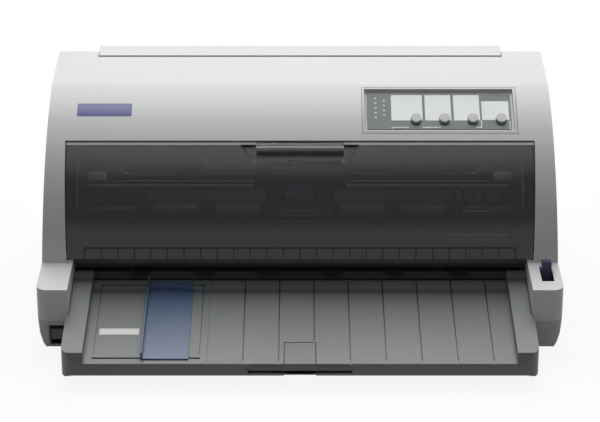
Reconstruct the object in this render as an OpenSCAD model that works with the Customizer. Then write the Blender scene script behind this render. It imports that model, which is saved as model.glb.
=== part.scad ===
/* [Case] */
// Width over the foot of the case
body_w = 480; // [470:1:500]
// Depth of the case from the foot's front face to the rear face
body_d = 304; // [300:1:312]
// Height of the case's top at the rear
body_h = 200; // [198:1:206]
// Width of the case at its top
top_w = 473; // [466:1:478]
// Wall of the two case mouldings
wall = 3; // [2.5:0.1:3.4]
// Height of the parting line between the lower and the upper case
part_z = 32; // [30:1:34]
// Height of the lower case's underside above the table
base_z = 4; // [3.5:0.1:5]
// Height of the shoulder ledge beside the tray
ledge_h = 63; // [61:1:64]
// Depth of the shoulder ledge
ledge_d = 60; // [58:1:61]
// Distance of the crease between front and top from the foot's front face
crease_y = 179; // [177:1:182]
// Drop of that crease below the case's top
crease_drop = 5; // [4:0.5:7]
// Radius of the barrel-shaped front
barrel_r = 173.4; // [165:1:190]
// Radius of the rear shoulder
rear_r = 54; // [52:1:56]
// Radius of the case's corners, seen from above
corner_r = 10; // [8:1:16]
// Inward taper of the lower case at its underside
foot_taper = 7; // [4:1:9]

/* [Smoke cover] */
// Distance of the cover's lower corners from the case's sides
cover_side = 23.5; // [23:0.5:25]
// Flare of the cover at its upper edge, on each side
cover_flare = 2.5; // [1.5:0.1:2.9]
// Height of the cover's lower edge above the ledge
cover_rise = 3; // [2:0.5:4]
// Drop of the cover's upper edge below the crease
cover_drop = 34; // [33:1:37]
// Thickness of the cover
cover_t = 2.4; // [2:0.1:2.8]
// Gap all round the cover
cover_gap = 0.8; // [0.6:0.1:1]
// Distance of the hinge line behind the ledge
hinge_back = 9; // [8.5:0.1:9.5]
// Height of the hinge line above the ledge
hinge_up = 10; // [9.5:0.1:10.5]
// Radius of the hinge pins
hinge_r = 3; // [2.6:0.1:3.2]

/* [Rear cover] */
// Distance of the rear cover's sides from the case's top corners
rear_side = 39.5; // [36:0.5:46]
// Height of the rear cover's skin above the case's shoulder
rear_lift = 5.5; // [5:0.5:6]
// Slope of the rear cover's front part, in degrees
rear_slope = 8; // [7:0.5:9]
// Thickness of the rear cover
rear_t = 2.5; // [2:0.1:2.8]
// Length of the rear cover in front of the case's rear face
rear_l = 57; // [56:0.5:58]
// Angle at which the rear cover ends, above the horizontal
rear_end = 30; // [26:1:36]
// Radius of the rear cover's pins
rear_pin_r = 1.6; // [1.4:0.1:1.7]

/* [Tray] */
// Reach of the tray in front of the foot
tray_reach = 66; // [62:1:70]
// Width of the case's shoulder beside the tray
shoulder_w = 27; // [26:0.5:28]
// Step by which the tray is narrower inside the case, on each side
tray_step = 2.5; // [2.5:0.5:3.5]
// Width of the tray's rim beside its floor
rim_w = 19.5; // [18:0.5:22]
// Thickness of the tray's walls and floor
tray_t = 2.5; // [2:0.1:3]
// Height of the tray's side walls above its floor
tray_wall = 10; // [9:0.5:11]
// Height of the floor's front edge
tray_front_z = 22; // [21:0.5:23]
// Height of the floor's rear edge
tray_rear_z = 38; // [37:0.5:38.5]
// Distance of the floor's rear edge behind the ledge
tray_back = 14; // [13:0.5:15]
// Pitch of the grooves in the floor
groove_pitch = 32; // [28:1:34]
// Number of grooves
groove_n = 9; // [5:1:9]
// Left edge of the sliding guide's plate, at the fin
guide_x = -142; // [-146:1:-138]
// Width of the sliding guide's plate
guide_w = 42.5; // [38:0.5:44]
// Height of the sliding guide's fin
guide_fin = 7; // [5:0.5:9]
// Width of the latch's tongue
latch_w = 28; // [24:1:32]
// Length of the latch's tongue
latch_l = 32; // [28:1:36]
// Width of the latch's finger bar in the front lip
latch_bar_w = 92; // [70:1:110]

/* [Control panel] */
// Centre of the panel, right of the middle
panel_x = 131.5; // [126:0.5:134]
// Width of the panel bezel
panel_w = 146; // [140:1:150]
// Length of the panel bezel up the slope
panel_l = 58; // [54:1:60]
// Wall of the panel bezel
bezel_t = 2.5; // [2:0.1:3]
// Depth of the panel's floor below the bezel's edge
panel_sink = 3; // [2.5:0.1:3.5]
// Radius of a button
button_r = 5; // [4.4:0.1:5.4]
// Distance between buttons
button_pitch = 26.8; // [24:0.1:28]
// Height of a button above the label
button_h = 3; // [2:0.1:4]
// Travel of a button
button_travel = 0.8; // [0.5:0.1:1]

/* [Controls] */
// Distance of the release lever's middle from the case's right side
lever_side = 12.8; // [12.2:0.1:13.5]
// Width of the release lever
lever_w = 8.5; // [7:0.1:9]
// Height of the release lever's pivot
lever_z = 38; // [37:0.5:40]
// Distance of the release lever's pivot behind the foot's front face
lever_y = 34; // [33:0.5:36]
// Length of the release lever above its pivot
lever_l = 37; // [34:0.5:38]
// Distance of the power switch's middle from the case's left side
switch_side = 18.5; // [18:0.1:19]
// Width of the power switch's rocker
rocker_w = 12; // [10:0.5:12.5]
// Height of the power switch's rocker
rocker_h = 17; // [15:0.5:17.5]

/* [Mechanism] */
// Distance of the side frames from the case's sides
frame_side = 32; // [31:0.5:34]
// Thickness of the sheet-metal frame
sheet = 1.6; // [1.2:0.1:1.8]
// Height of the chassis plate's underside
chassis_z = 10; // [9.5:0.5:11]
// Radius of the platen
platen_r = 16; // [15:0.1:16.2]
// Distance of the platen's ends from the side frames
platen_side = 23; // [18:1:38]
// Radius of the rubber feed rollers
feed_r = 9; // [8:0.1:9.2]
// Radius of the pinch rollers
pinch_r = 8; // [7:0.1:8.4]
// Radius of the roller shafts
shaft_r = 3; // [2.5:0.1:3.5]
// Radius of the carriage shaft
guide_r = 5; // [4:0.1:5.2]
// Half width of the carriage
carriage_hw = 32; // [29:0.5:34]
// Distance of the belt pulleys from the side frames
pulley_side = 28; // [26:1:32]
// Radius of the belt pulleys
pulley_r = 8; // [7.6:0.1:8]
// Module of the gear teeth
gear_m = 1; // [0.96:0.01:1]
// Half distance between the two tractors
tractor_x = 120; // [90:1:140]

/* [Hidden] */
$fn = 64;

// Clearances
fit = 0.05;   // shaft in its bore, on the radius
seat = 0.3;   // piece that rests in or on another
eps = 0.5;    // overshoot of a cut

// The foot's front face lies here, so that the whole depth is centred on the origin
foot_y = tray_reach - (tray_reach + body_d) / 2;

// Half widths of the case, its covers, its tray and its frame
foot_hw = body_w / 2;
top_hw = top_w / 2;
cover_hw = foot_hw - cover_side;
cover_top_hw = cover_hw + cover_flare;
rear_hw = top_hw - rear_side;
tray_hw = foot_hw - shoulder_w;
tray_in_hw = tray_hw - tray_step;
floor_hw = tray_hw - rim_w;
frame_hw = foot_hw - frame_side;
lever_x = foot_hw - lever_side;
switch_x = switch_side - foot_hw;
pulley_x = frame_hw - pulley_side;

// Heights and depths that hang on the case's own
crease_z = body_h - crease_drop;
cover_z0 = ledge_h + cover_rise;
cover_z1 = crease_z - cover_drop;
tray_rear_y = ledge_d + tray_back;
rear_front = body_d - rear_l;

// Centre of the arc with radius r through p and q, on the right of the way from p to q
function arc_centre(p, q, r) =
    let (d = q - p, l = norm(d), h = sqrt(r * r - l * l / 4))
    (p + q) / 2 + [d[1], -d[0]] * h / l;
barrel_c = arc_centre([ledge_d, ledge_h], [crease_y, crease_z], barrel_r);
// Height of the barrel front, inset by t, at depth y, and its depth at height z
function barrel_z(y, t) = barrel_c[1] + sqrt(pow(barrel_r - t, 2) - pow(y - barrel_c[0], 2));
function barrel_y(z, t) = barrel_c[0] - sqrt(pow(barrel_r - t, 2) - pow(z - barrel_c[1], 2));

shoulder_y = body_d - rear_r;
shoulder_z = body_h - rear_r;

// Moves a piece drawn from the foot's front face into the part's frame
module place() {
    translate([0, foot_y, 0]) children();
}

// Extrudes an outline drawn in depth and height over a stretch of width
module along_x(x0, x1) {
    translate([x0, 0, 0]) rotate([90, 0, 90]) linear_extrude(x1 - x0) children();
}

// Extrudes an outline drawn in width and height over a stretch of depth
module along_y(y0, y1) {
    translate([0, y1, 0]) rotate([90, 0, 0]) linear_extrude(y1 - y0) children();
}

// Box between two corners
module box(a, b) {
    translate(a) cube(b - a);
}

// Round bar along X from x0 to x1 through the point [depth, height]
module bar_x(p, x0, x1, r) {
    translate([x0, p[0], p[1]]) rotate([0, 90, 0]) cylinder(r = r, h = x1 - x0);
}

// Rectangle between two corners with round corners
module round_rect(a, b, r) {
    translate([a[0] + r, a[1]]) square([b[0] - a[0] - 2 * r, b[1] - a[1]]);
    translate([a[0], a[1] + r]) square([b[0] - a[0], b[1] - a[1] - 2 * r]);
    for (x = [a[0] + r, b[0] - r], y = [a[1] + r, b[1] - r])
        translate([x, y]) circle(r = r);
}

// ---------------------------------------------------------------- case outlines

// Side outline of the case, inset by t
module side_profile(t) {
    translate([t, 0]) square([crease_y, ledge_h - t]);
    intersection() {
        translate(barrel_c) circle(r = barrel_r - t, $fn = 180);
        translate([0, ledge_h / 2]) square([crease_y, body_h]);
    }
    polygon([
        [crease_y - 20, 0], [crease_y - 20, ledge_h],
        [crease_y, barrel_z(crease_y, t)], [shoulder_y, body_h - t], [shoulder_y + 1, 0],
    ]);
    translate([shoulder_y, 0]) square([rear_r - t, shoulder_z]);
    intersection() {
        translate([shoulder_y, shoulder_z]) circle(r = rear_r - t, $fn = 96);
        translate([shoulder_y, shoulder_z - 1]) square(rear_r + 1);
    }
}

// Front outline of the upper case, inset by t
module front_profile(t) {
    polygon([
        [-foot_hw + t, 0], [foot_hw - t, 0], [foot_hw - t, ledge_h],
        [top_hw - t, body_h + 1], [-top_hw + t, body_h + 1], [-foot_hw + t, ledge_h],
    ]);
}

// Plan of the case, inset by t
module plan(t) {
    round_rect([-foot_hw + t, t], [foot_hw - t, body_d - t], corner_r - t);
}

// The solid body of the upper case, inset by t, between two heights
module upper_solid(t, z0, z1) {
    intersection() {
        along_x(-foot_hw, foot_hw) side_profile(t);
        along_y(-1, body_d + 1) front_profile(t);
        translate([0, 0, z0]) linear_extrude(z1 - z0) plan(t);
    }
}

// Front outline of the smoke cover, inset by t at the sides and by e at top and bottom
module cover_face(t, e) {
    polygon([
        [-cover_hw + t, cover_z0 + e], [cover_hw - t, cover_z0 + e],
        [cover_top_hw - t, cover_z1 - e], [-cover_top_hw + t, cover_z1 - e],
    ]);
}

// A band of the barrel front between the insets t0 and t1
module barrel_band(x0, x1, t0, t1) {
    along_x(x0, x1) difference() {
        side_profile(t0);
        side_profile(t1);
    }
}

// ---------------------------------------------------------------- tray and panel placing

tray_slope = (tray_rear_z - tray_front_z) / (tray_reach + tray_rear_y);
// Height of the tray's floor at depth y
function floor_z(y) = tray_rear_z + (y - tray_rear_y) * tray_slope;
tray_front = -tray_reach;
tray_pivot = [tray_rear_y - 4, tray_rear_z + 3];
tray_pin_r = 3;
gap_hw = tray_in_hw + 1;        // half width of the case's gap round the tray
cheek_x = cover_top_hw + cover_gap + 0.4;
hinge_p = [ledge_d + hinge_back, ledge_h + hinge_up];
cheek_t = 3;
foot_sweep_r = norm(hinge_p - [barrel_y(cover_z0, 0), cover_z0]) + cover_gap;
cheek_depth = 16;
rear_axis = [rear_front + 8, body_h - rear_t - 3];
ear_x = rear_hw - rear_t - seat - 3.5;
ear_t = 3;
ear_r = 2.8;
ear_drop = 18;                  // from the top down to the ears' feet
rear_gap_y = rear_front - 2.8;
rear_skin_r = rear_r + rear_lift;
slot_z = shoulder_z + 4;        // lower edge of the rear paper slot

// Panel: middle of the chord that its length cuts off the barrel below the crease
panel_y1 = crease_y - 4;
panel_z1 = barrel_z(panel_y1, 0);
// Depth of the chord's lower end, found by stepping the slope twice
panel_a0 = atan2(panel_z1 - barrel_z(panel_y1 - panel_l * 0.87, 0), panel_l * 0.87);
panel_y0 = panel_y1 - panel_l * cos(panel_a0);
panel_z0 = barrel_z(panel_y0, 0);
panel_tilt = atan2(panel_z1 - panel_z0, panel_y1 - panel_y0);

// Puts a piece on the panel: x across, y up the slope, z out of the case
module on_panel() {
    translate([panel_x, (panel_y0 + panel_y1) / 2, (panel_z0 + panel_z1) / 2])
        rotate([panel_tilt, 0, 0]) children();
}
panel_hw = panel_w / 2;
panel_hl = panel_l / 2;
button_y = -panel_hl + 20;
label_hw = panel_hw - bezel_t - 2.5;
label_hl = panel_hl - bezel_t - 4;
label_t = 0.6;
floor_t = 2;                    // floor of the bezel
board_t = 1.6;
board_drop = 5;                 // panel board below the bezel's floor
function button_x(i) = label_hw - 9.5 - button_pitch * (3 - i);

// Release lever and power switch
lever_slot = [lever_y - 15, lever_y + 17];
lever_tilt = -14;               // leans to the rear at rest
lever_pin_r = 3;
switch_z = base_z + wall + rocker_h / 2 + 2;
switch_wall = 1.5;
switch_hw = rocker_w / 2 + switch_wall;
switch_hh = rocker_h / 2 + switch_wall;
switch_depth = 24;

// Cover and plates
plate_t = 0.5;
badge_x0 = 26.5 - top_hw;
badge_w = 51;
badge_z1 = crease_z - 10.1;
badge_h = 7;
badge = [[badge_x0, badge_z1 - badge_h], [badge_x0 + badge_w, badge_z1]];
model_w = 58;
model_x1 = cover_hw - 21.5;
model_z0 = cover_z0 + 15.5;
model_h = 7;
model_plate = [[model_x1 - model_w, model_z0], [model_x1, model_z0 + model_h]];

// ---------------------------------------------------------------- mechanism placing

plate_z = chassis_z + sheet;
frame_out = frame_hw + sheet;
platen_p = [tray_rear_y + 54, 44];
front_p = platen_p + [-35.5, -10];
rear_p = platen_p + [44, 8];
motor_p = rear_p + [43, -17];
tractor_p = [shoulder_y + 8, 104];
rod_p = tractor_p + [18, 14];
guide_p = platen_p + [48, 48];
rail_y = platen_p[0] - 22;
rail_z = guide_p[1] - 6;
rail_z0 = rail_z - 29;
guide_sheet_x = 150;            // half width of the rear guide's sheet
guide_sheet_p = [242, 84];      // its rear edge
guide_sheet_t = 1.5;
pinch_shaft_r = 2.5;
nip = 0.4;                      // paper's gap between a feed roller and its pinch roller
front_pinch_p = [front_p[0], front_p[1] + feed_r + nip + pinch_r];
rear_pinch_p = [rear_p[0], rear_p[1] + feed_r + nip + pinch_r];
paper_z = platen_p[1] + platen_r;   // top of the platen

// Gears, with their teeth; a gear's pitch radius is half its teeth times the module
gear_t = 5;
gear_x = -frame_out - 3 - gear_t;
platen_n = 48;
front_n = 20;
idler_n = 16;
rear_n = 24;
drive_n = 36;
pinion_n = 12;
tractor_n = 30;
function pitch_r(n) = n * gear_m / 2;
// Centre of an idler with n teeth that meshes with a gear at p and a gear at q,
// on the left of the way from p to q
function mesh_point(p, pn, q, qn, n) =
    let (a = pitch_r(pn) + pitch_r(n), b = pitch_r(qn) + pitch_r(n), d = q - p, l = norm(d),
         u = (a * a - b * b + l * l) / (2 * l), h = sqrt(a * a - u * u))
    p + d * u / l + [-d[1], d[0]] * h / l;
// Phase of a gear with n teeth at q that meshes with a gear at p, of pn teeth and phase ph
function mesh_phase(p, pn, ph, q, n) =
    let (a = atan2(q[1] - p[1], q[0] - p[0]))
    a + 180 + ((a - ph) * pn / 360 + 0.5) * 360 / n;
front_idler_p = mesh_point(platen_p, platen_n, front_p, front_n, idler_n);
rear_idler_p = mesh_point(platen_p, platen_n, rear_p, rear_n, idler_n);
drive_p = mesh_point(rear_p, rear_n, motor_p, pinion_n, drive_n);
// Fewest teeth that bridge the way to the tractors, and two more
tractor_idler_n = ceil((2 * norm(tractor_p - drive_p) / gear_m - drive_n - tractor_n) / 2 + 2);
tractor_idler_p = mesh_point(drive_p, drive_n, tractor_p, tractor_n, tractor_idler_n);
front_idler_ph = mesh_phase(platen_p, platen_n, 0, front_idler_p, idler_n);
front_ph = mesh_phase(front_idler_p, idler_n, front_idler_ph, front_p, front_n);
rear_idler_ph = mesh_phase(platen_p, platen_n, 0, rear_idler_p, idler_n);
rear_ph = mesh_phase(rear_idler_p, idler_n, rear_idler_ph, rear_p, rear_n);
drive_ph = mesh_phase(rear_p, rear_n, rear_ph, drive_p, drive_n);
pinion_ph = mesh_phase(drive_p, drive_n, drive_ph, motor_p, pinion_n);
tractor_idler_ph = mesh_phase(drive_p, drive_n, drive_ph, tractor_idler_p, tractor_idler_n);
tractor_ph = mesh_phase(tractor_idler_p, tractor_idler_n, tractor_idler_ph, tractor_p, tractor_n);
echo(panel = [panel_x, (panel_y0 + panel_y1) / 2, (panel_z0 + panel_z1) / 2], tilt = panel_tilt);
echo(idlers = [front_idler_p, rear_idler_p, drive_p, tractor_idler_p], foot = foot_y);
stud_r = 2.5;                   // stubs that carry the idler gears
journal_r = 4;                  // journals of the platen

// Carriage drive
belt_z = 92;
belt_w = 6;
belt_t = 1.2;
pulley_y = guide_p[0] + 24;
belt_r = pulley_r + seat;       // inside of the belt
motor_r = 20;
motor_l = 36;
motor_boss_r = 7.9;
carriage_motor_r = 17;
post_r = 2.5;
tab_hw = 11.5;                  // reach of the pulleys' tabs past the pulleys' axes
carriage_top = 100;
head_hw = 13;
head = [[-head_hw, rail_y + 10], [head_hw, rail_y + 44]];
head_z0 = 78;
head_z1 = 112;
fin_n = 7;
fin_pitch = 5;
fin_h = 7;

// Spur gear with its axis along X at p, from x0, with n teeth and a bore
module gear(p, x0, n, phase, bore) {
    r = pitch_r(n);
    pitch_w = 0.43 * PI * gear_m;
    translate([0, p[0], p[1]]) along_x(x0, x0 + gear_t) rotate(phase) difference() {
        union() {
            circle(r = r - 1.1 * gear_m);
            for (i = [0 : n - 1])
                rotate(i * 360 / n) polygon([
                    [r - 1.4 * gear_m, -0.72 * pitch_w], [r, -pitch_w / 2],
                    [r + 0.85 * gear_m, -0.26 * pitch_w], [r + 0.85 * gear_m, 0.26 * pitch_w],
                    [r, pitch_w / 2], [r - 1.4 * gear_m, 0.72 * pitch_w],
                ]);
        }
        circle(r = bore);
    }
}

// ---------------------------------------------------------------- case

// Bottom moulding with its feet's seats, the switch's hole and the rear holes
module lower_case() {
    color("#6a6a68") place() difference() {
        union() {
            difference() {
                lower_solid(0, base_z, part_z);
                lower_solid(wall, base_z + wall, part_z + eps);
            }
            for (p = post_places) translate([p[0], p[1], base_z])
                cylinder(r = post_outer_r, h = chassis_z - base_z);
            // pocket that holds the power switch
            box([switch_x - switch_hw - seat - 2, wall - eps, base_z + 1],
                [switch_x + switch_hw + seat + 2, switch_depth - 4, base_z + wall + 1]);
        }
        // the tray's way in
        box([-gap_hw, -1, part_z - 11], [gap_hw, wall + 1, part_z + 1]);
        box([switch_x - switch_hw - seat, -1, switch_z - switch_hh - seat],
            [switch_x + switch_hw + seat, switch_depth, switch_z + switch_hh + seat]);
        for (p = post_places) translate([p[0], p[1], base_z + 1])
            cylinder(r = screw_r + fit, h = chassis_z);
        for (p = foot_places) translate([p[0], p[1], 0])
            cylinder(r = rubber_r + seat, h = base_z + 1);
        rear_holes();
    }
}
post_x = foot_hw - 24;
post_places = [for (x = [-post_x, 0, post_x], y = [platen_p[0], body_d - 24]) [x, y]];
foot_x = foot_hw - 35;
foot_places = [for (x = [-foot_x, foot_x], y = [22, body_d - 22]) [x, y]];
screw_r = 1.6;
screw_head_r = 3.2;
screw_head_h = 2;
post_outer_r = 5;
rubber_r = 9;
module lower_solid(t, z0, z1) {
    intersection() {
        translate([0, 0, z0]) linear_extrude(z1 - z0) plan(t);
        along_y(-1, body_d + 1) polygon([
            [-foot_hw + foot_taper + t, base_z], [foot_hw - foot_taper - t, base_z],
            [foot_hw - 2 - t, base_z + 14], [foot_hw - t, part_z + 1],
            [-foot_hw + t, part_z + 1], [-foot_hw + 2 + t, base_z + 14],
        ]);
        along_x(-foot_hw, foot_hw) polygon([
            [4 + t, base_z], [body_d - 4 - t, base_z], [body_d - t, base_z + 8],
            [body_d - t, part_z + 1], [t, part_z + 1], [t, base_z + 8],
        ]);
    }
}
// Holes in the rear wall for the connectors and the inlet
port_x = 58 - frame_hw + 84;
port = [[port_x, 15], [port_x + 60, 30.5]];
usb = [[20, 16], [36, 28]];
inlet_x = post_x - 66;
inlet = [[inlet_x, 12], [inlet_x + 28, 31]];
module rear_holes() {
    for (h = [port, usb, inlet])
        box([h[0][0] - seat, body_d - 2 * wall, h[0][1] - seat],
            [h[1][0] + seat, body_d + 1, h[1][1] + seat]);
}

// Main shell: barrel front, top, sides and rear in one moulding
module upper_case() {
    color("#d8d8d6") place() {
        for (s = [-1, 1]) rear_ear(s > 0 ? ear_x : -ear_x - ear_t);
        difference() {
            union() {
                difference() {
                    upper_solid(0, part_z, body_h + 1);
                    upper_solid(wall, part_z - 1, body_h + 1);
                }
                for (s = [-1, 1]) mirror([s > 0 ? 0 : 1, 0, 0]) case_side();
                // axle of the release lever
                bar_x([lever_y, lever_z], gap_hw + wall - eps, foot_hw - wall + eps, lever_pin_r);
            }
            case_openings();
        }
    }
}
// Wall beside the tray, cheek that carries the smoke cover, and the ledge that joins them
module case_side() {
    box([gap_hw, 0.5, part_z], [gap_hw + wall, tray_rear_y + 6, ledge_h - 0.5]);
    intersection() {
        barrel_band(cheek_x, cheek_x + cheek_t, 0.5, cheek_depth);
        box([-foot_hw, ledge_d - 5, ledge_h - 1], [foot_hw, crease_y, cover_z1 + 4]);
    }
    box([gap_hw, ledge_d - 2, ledge_h - wall], [cheek_x + cheek_t, tray_rear_y + 6, ledge_h]);
}
module case_openings() {
    // the cover's opening
    along_y(ledge_d - 5, barrel_y(cover_z1, 0) + 25) cover_face(-cover_gap, -cover_gap);
    // the tray's gap
    box([-gap_hw, -1, part_z - 1], [gap_hw, ledge_d + 15, cover_z0 + eps]);
    // hinge bores and the tray's bores
    bar_x(hinge_p, -foot_hw + wall + 1, foot_hw - wall - 1, hinge_r + fit);
    // room for the turning foot of the cover
    bar_x(hinge_p, -cover_hw - cover_gap, cover_hw + cover_gap, foot_sweep_r);
    bar_x(tray_pivot, -gap_hw - wall - 1, gap_hw + wall + 1, tray_pin_r + fit);
    // the rear cover's opening
    box([-rear_hw - 0.6, rear_gap_y, slot_z], [rear_hw + 0.6, body_d + 1, body_h + 9]);
    // panel, badge, lever slot
    on_panel() box([-panel_hw - seat, -panel_hl - seat, -15],
        [panel_hw + seat, panel_hl + seat, 15]);
    intersection() {
        barrel_band(badge[0][0] - 0.2, badge[1][0] + 0.2, -1, plate_t);
        box([-foot_hw, 100, badge[0][1] - 0.2], [0, 200, badge[1][1] + 0.2]);
    }
    box([lever_x - lever_w / 2 - 1.5, lever_slot[0], ledge_h - wall - 1],
        [lever_x + lever_w / 2 + 1.5, lever_slot[1], ledge_h + 1]);
    rear_holes();
}
// Ear under the rear cover's skin, from x0
module rear_ear(x0) {
    along_x(x0, x0 + ear_t) difference() {
        union() {
            translate(rear_axis) circle(r = ear_r);
            // web below the pin, foot and neck that leave the turning cover its room
            translate([rear_axis[0] - 1, body_h - ear_drop])
                square([ear_r + 1, ear_drop - body_h + rear_axis[1]]);
            translate([rear_gap_y - 6, body_h - ear_drop])
                square([rear_axis[0] + ear_r - rear_gap_y + 6, 4]);
            translate([rear_gap_y - 6, body_h - ear_drop]) square([4, ear_drop - wall + eps]);
        }
        translate(rear_axis) circle(r = rear_pin_r + fit);
    }
}

// Four rubber feet
module rubber_feet() {
    color("#2b2b2b") place() for (p = foot_places)
        translate([p[0], p[1], 0]) cylinder(r = rubber_r, h = base_z + 1);
}

// Screws that hold the chassis on the lower case's posts
module chassis_screws() {
    color("silver") place() for (p = post_places) {
        translate([p[0], p[1], base_z + 2]) cylinder(r = screw_r, h = plate_z - base_z - 2);
        translate([p[0], p[1], plate_z]) cylinder(r = screw_head_r, h = screw_head_h);
    }
}

// ---------------------------------------------------------------- covers

// Smoke-coloured cover with its side flanges, grip and hinge pins
grip_hw = 41;
grip_reach = 5;
scoop_hw = 56;                  // half width of the scoop under the lip, at its top
scoop_end = 12;                 // slant of its ends
scoop_dip = 3;
scoop_z = [cover_z1 - 14.5, cover_z1 - 2];
// Front outline of the scoop, grown by e
module scoop_face(e) {
    polygon([
        [-scoop_hw - e, scoop_z[1] + e], [scoop_hw + e, scoop_z[1] + e],
        [scoop_hw - scoop_end + e, scoop_z[0] - e], [-scoop_hw + scoop_end - e, scoop_z[0] - e],
    ]);
}
module printer_cover() {
    flange = 13;
    color([0.25, 0.27, 0.27, 0.6]) place() {
        difference() {
            union() {
                difference() {
                    intersection() {
                        barrel_band(-foot_hw, foot_hw, 0, cover_t);
                        along_y(0, crease_y) cover_face(0, 0);
                    }
                    along_y(0, crease_y) scoop_face(0);
                }
                scoop();
                // side flanges
                intersection() {
                    barrel_band(-foot_hw, foot_hw, 0, flange);
                    along_y(0, crease_y) difference() {
                        cover_face(0, 0);
                        cover_face(cover_t, -5);
                    }
                }
                // grip lip
                intersection() {
                    barrel_band(-grip_hw, grip_hw, -grip_reach, 1);
                    box([-grip_hw, 60, cover_z1 - 4], [grip_hw, 150, cover_z1]);
                }
                for (s = [-1, 1])
                    bar_x(hinge_p, s > 0 ? cover_hw - 1 : -cheek_x - cheek_t,
                        s > 0 ? cheek_x + cheek_t : -cover_hw + 1, hinge_r);
            }
            // finger slot behind the lip
            box([-grip_hw + 4, barrel_y(cover_z1, 0) - 3, cover_z1 - 2], [grip_hw - 4, 150, cover_z1 + 1]);
        }
    }
}
// Shallow scoop for the fingers under the grip lip
module scoop() {
    difference() {
        intersection() {
            barrel_band(-foot_hw, foot_hw, 0, scoop_dip + cover_t);
            along_y(0, crease_y) intersection() {
                cover_face(0, 0);
                scoop_face(cover_t);
            }
        }
        intersection() {
            barrel_band(-foot_hw, foot_hw, -1, scoop_dip);
            along_y(0, crease_y) scoop_face(0);
        }
    }
}
// Plain plate on the smoke cover
module cover_plate() {
    color("#77777a") place() intersection() {
        barrel_band(model_plate[0][0], model_plate[1][0], -plate_t, 0);
        box([0, 0, model_plate[0][1]], [foot_hw, 120, model_plate[1][1]]);
    }
}

// Cover over the tractors, hinged at its front edge
module rear_outline(t) {
    difference() {
        intersection() {
            translate([shoulder_y, shoulder_z]) circle(r = rear_skin_r - t, $fn = 96);
            translate([rear_front + t, shoulder_z])
                polygon([[0, 0], [0, 80], [80, 80],
                    [rear_skin_r * 2 * cos(rear_end), rear_skin_r * 2 * sin(rear_end)],
                    [shoulder_y - rear_front, 0]]);
        }
        // gentle slope up from the front edge
        translate([rear_front, body_h + seat]) rotate(rear_slope)
            translate([-20, -t]) square([90, 40]);
    }
}
module rear_cover() {
    color("#e2e2e0") place() {
        intersection() {
            difference() {
                along_x(-rear_hw, rear_hw) rear_outline(0);
                along_x(-rear_hw + rear_t, rear_hw - rear_t) rear_outline(rear_t);
                box([-rear_hw - 1, 0, 0], [rear_hw + 1, shoulder_y + 1, body_h + seat - rear_t]);
                bar_x([shoulder_y, shoulder_z], -rear_hw - 1, rear_hw + 1, rear_r - 4);
            }
            along_y(0, body_d + 10) polygon([
                [-rear_hw, 0], [rear_hw, 0], [rear_hw, body_h],
                [rear_hw - 3, body_h + rear_lift + 1],
                [-rear_hw + 3, body_h + rear_lift + 1], [-rear_hw, body_h],
            ]);
        }
        for (s = [-1, 1])
            rear_arm(s);
    }
}
// Arm of the rear cover with its pin
module rear_arm(s) {
    x0 = ear_x + ear_t + seat;
    mirror([s > 0 ? 0 : 1, 0, 0]) {
        bar_x(rear_axis, ear_x, x0 + 1, rear_pin_r);
        along_x(x0, rear_hw - rear_t + eps) intersection() {
            union() {
                translate(rear_axis) circle(r = 3.2);
                translate([rear_axis[0] - 1, rear_axis[1]]) square([8, body_h + rear_lift - rear_axis[1]]);
            }
            rear_outline(rear_t - eps);
        }
    }
}

// Plain plate on the left of the front
module badge_plate() {
    color("#3a3c8c") place() intersection() {
        barrel_band(badge[0][0], badge[1][0], -0.2, plate_t);
        box([-foot_hw, 100, badge[0][1]], [0, 200, badge[1][1]]);
    }
}

// ---------------------------------------------------------------- tray

// Plan of the tray, inset by t
module tray_plan(t) {
    r = 12;
    difference() {
        polygon([
            [-tray_hw + t, tray_front + t], [tray_hw - t, tray_front + t],
            [tray_hw - t, -8], [tray_in_hw - t, -2], [tray_in_hw - t, tray_rear_y],
            [-tray_in_hw + t, tray_rear_y], [-tray_in_hw + t, -2], [-tray_hw + t, -8],
        ]);
        for (s = [-1, 1])
            mirror([s > 0 ? 0 : 1, 0]) difference() {
                translate([tray_hw - r, tray_front - 1]) square([r + 1, r + 1]);
                translate([tray_hw - r, tray_front + r]) circle(r = r - t);
            }
    }
}
// Side outline of the tray with its walls
module tray_side() {
    polygon([
        [tray_front, 11], [tray_front, tray_front_z], [tray_front + 2, tray_front_z + tray_wall],
        [tray_rear_y, tray_rear_z + tray_wall], [tray_rear_y, tray_rear_z - 5],
        [2, part_z - 8], [-46, base_z + 3.5], [tray_front + 4, base_z + 3.5],
    ]);
}
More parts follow.
